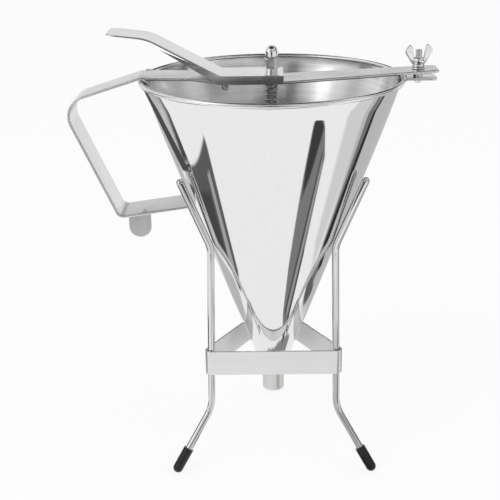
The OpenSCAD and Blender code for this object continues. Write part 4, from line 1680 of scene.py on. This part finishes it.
@dataclass(frozen=True)
class Studio:
    """Pale floor, white surroundings, soft lamps and the cards and rings of paper.

    Attributes:
        fill: Strength of the surroundings as a light.
        floor_size: Half of the floor's side.
        floor_tone: Brightness of the floor's own colour.
        floor_white: Share of plain white in the floor as seen, over its lit surface.
        lamps: The lamps.
    """

    fill: float = 0.78
    floor_size: float = 14.0
    floor_tone: float = 0.9
    floor_white: float = 0.86
    lamps: tuple[Lamp, ...] = (
        Lamp("key lamp", (-1.0, -0.9, 1.6), 9.0), Lamp("fill lamp", (1.3, -0.6, 1.3), 4.0)
    )

    def seen_directly(self, w: NodeWriter) -> NodeSocket:
        """Adds the mask of camera, glossy and transmission rays.

        Args:
            w: Writer on a tree.

        Returns:
            One for a ray that sees the set directly or in a reflection, and nothing for the others.
        """
        rays = w.add("ShaderNodeLightPath").outputs
        seen = w.math("MAXIMUM", rays["Is Camera Ray"], rays["Is Glossy Ray"])
        return w.math("MAXIMUM", seen, rays["Is Transmission Ray"])

    def build_world(self) -> None:
        """Surroundings: white to the eye and in reflections, softer as a light."""
        world = bpy.data.worlds.new("white surroundings")
        bpy.context.scene.world = world
        world.use_nodes = True
        w = NodeWriter(world.node_tree)
        seen = self.seen_directly(w)
        level = w.result("ShaderNodeMapRange", {"Value": seen, "To Min": self.fill, "To Max": 1.0})
        w.feed(w.tree.nodes["Background"], {"Color": (1.0, 1.0, 1.0, 1.0), "Strength": level})

    def build_floor(self) -> None:
        """Pale floor that keeps a soft shadow under the white."""
        s, tone = self.floor_size, self.floor_tone
        mesh = new_mesh("floor", [(-s, -s, 0), (s, -s, 0), (s, s, 0), (-s, s, 0)], [(0, 1, 2, 3)])
        material, w, shader = new_material("pale floor")
        w.feed(shader, {"Base Color": (tone, tone, tone, 1.0), "Roughness": 0.8, "Specular IOR Level": 0.1})
        white = w.math("MULTIPLY", self.seen_directly(w), self.floor_white)
        glow = w.result("ShaderNodeEmission", {"Color": (1.0, 1.0, 1.0, 1.0)})
        w.show(w.result("ShaderNodeMixShader", {0: white, 1: shader.outputs[0], 2: glow}))
        mesh.materials.append(material)
        placed("floor", mesh)

    def build(self) -> None:
        """Makes the whole set."""
        self.build_world()
        self.build_floor()
        for fitting in (*self.lamps, *FLAGS, *RINGS):
            fitting.build()
        bpy.context.scene.view_settings.view_transform = "Standard"


# The whole


PARTS = (
    ConeShell(),
    SoftenedSheet("handle_strap", "strap_handle", Body.FUNNEL, SATIN),
    SoftenedSheet("cross_bar", "bar_across", Body.FUNNEL, SATIN),
    SoftenedSheet("rest_tab", "grip_tab", Body.FUNNEL, SATIN_TAB, 0.5 * MM),
    SoftenedSheet("clamp_lug", "rim_lug", Body.FUNNEL, SATIN),
    SoftenedSheet("lever", "thumb_lever", Body.LEVER, FOLDED, 0.4 * MM),
    SoftenedSheet("stand_band", "leg_band", Body.STAND, SATIN_BAND, 0.25 * MM, segments=2),
    ReturnSpring(),
    DomedNut(),
    WingedNut(),
    ThreadedRod("clamp_stud", "threaded_stud", 2.9 * MM, 3.0 * MM, 2.1 * MM),
    ThreadedRod("stop_screw", "lever_stop", 2.5 * MM, 4.2 * MM, 1.4 * MM),
    FunnelSeams(),
    WireLegs(),
)


def main() -> None:
    """Builds the object's looks, then the studio round it."""
    logging.basicConfig(level=logging.INFO, format="%(name)s %(message)s")
    PhotoCamera().build()
    for part in PARTS:
        part.build()
    dress_nodes()
    Studio().build()


if __name__ == "__main__":
    main()
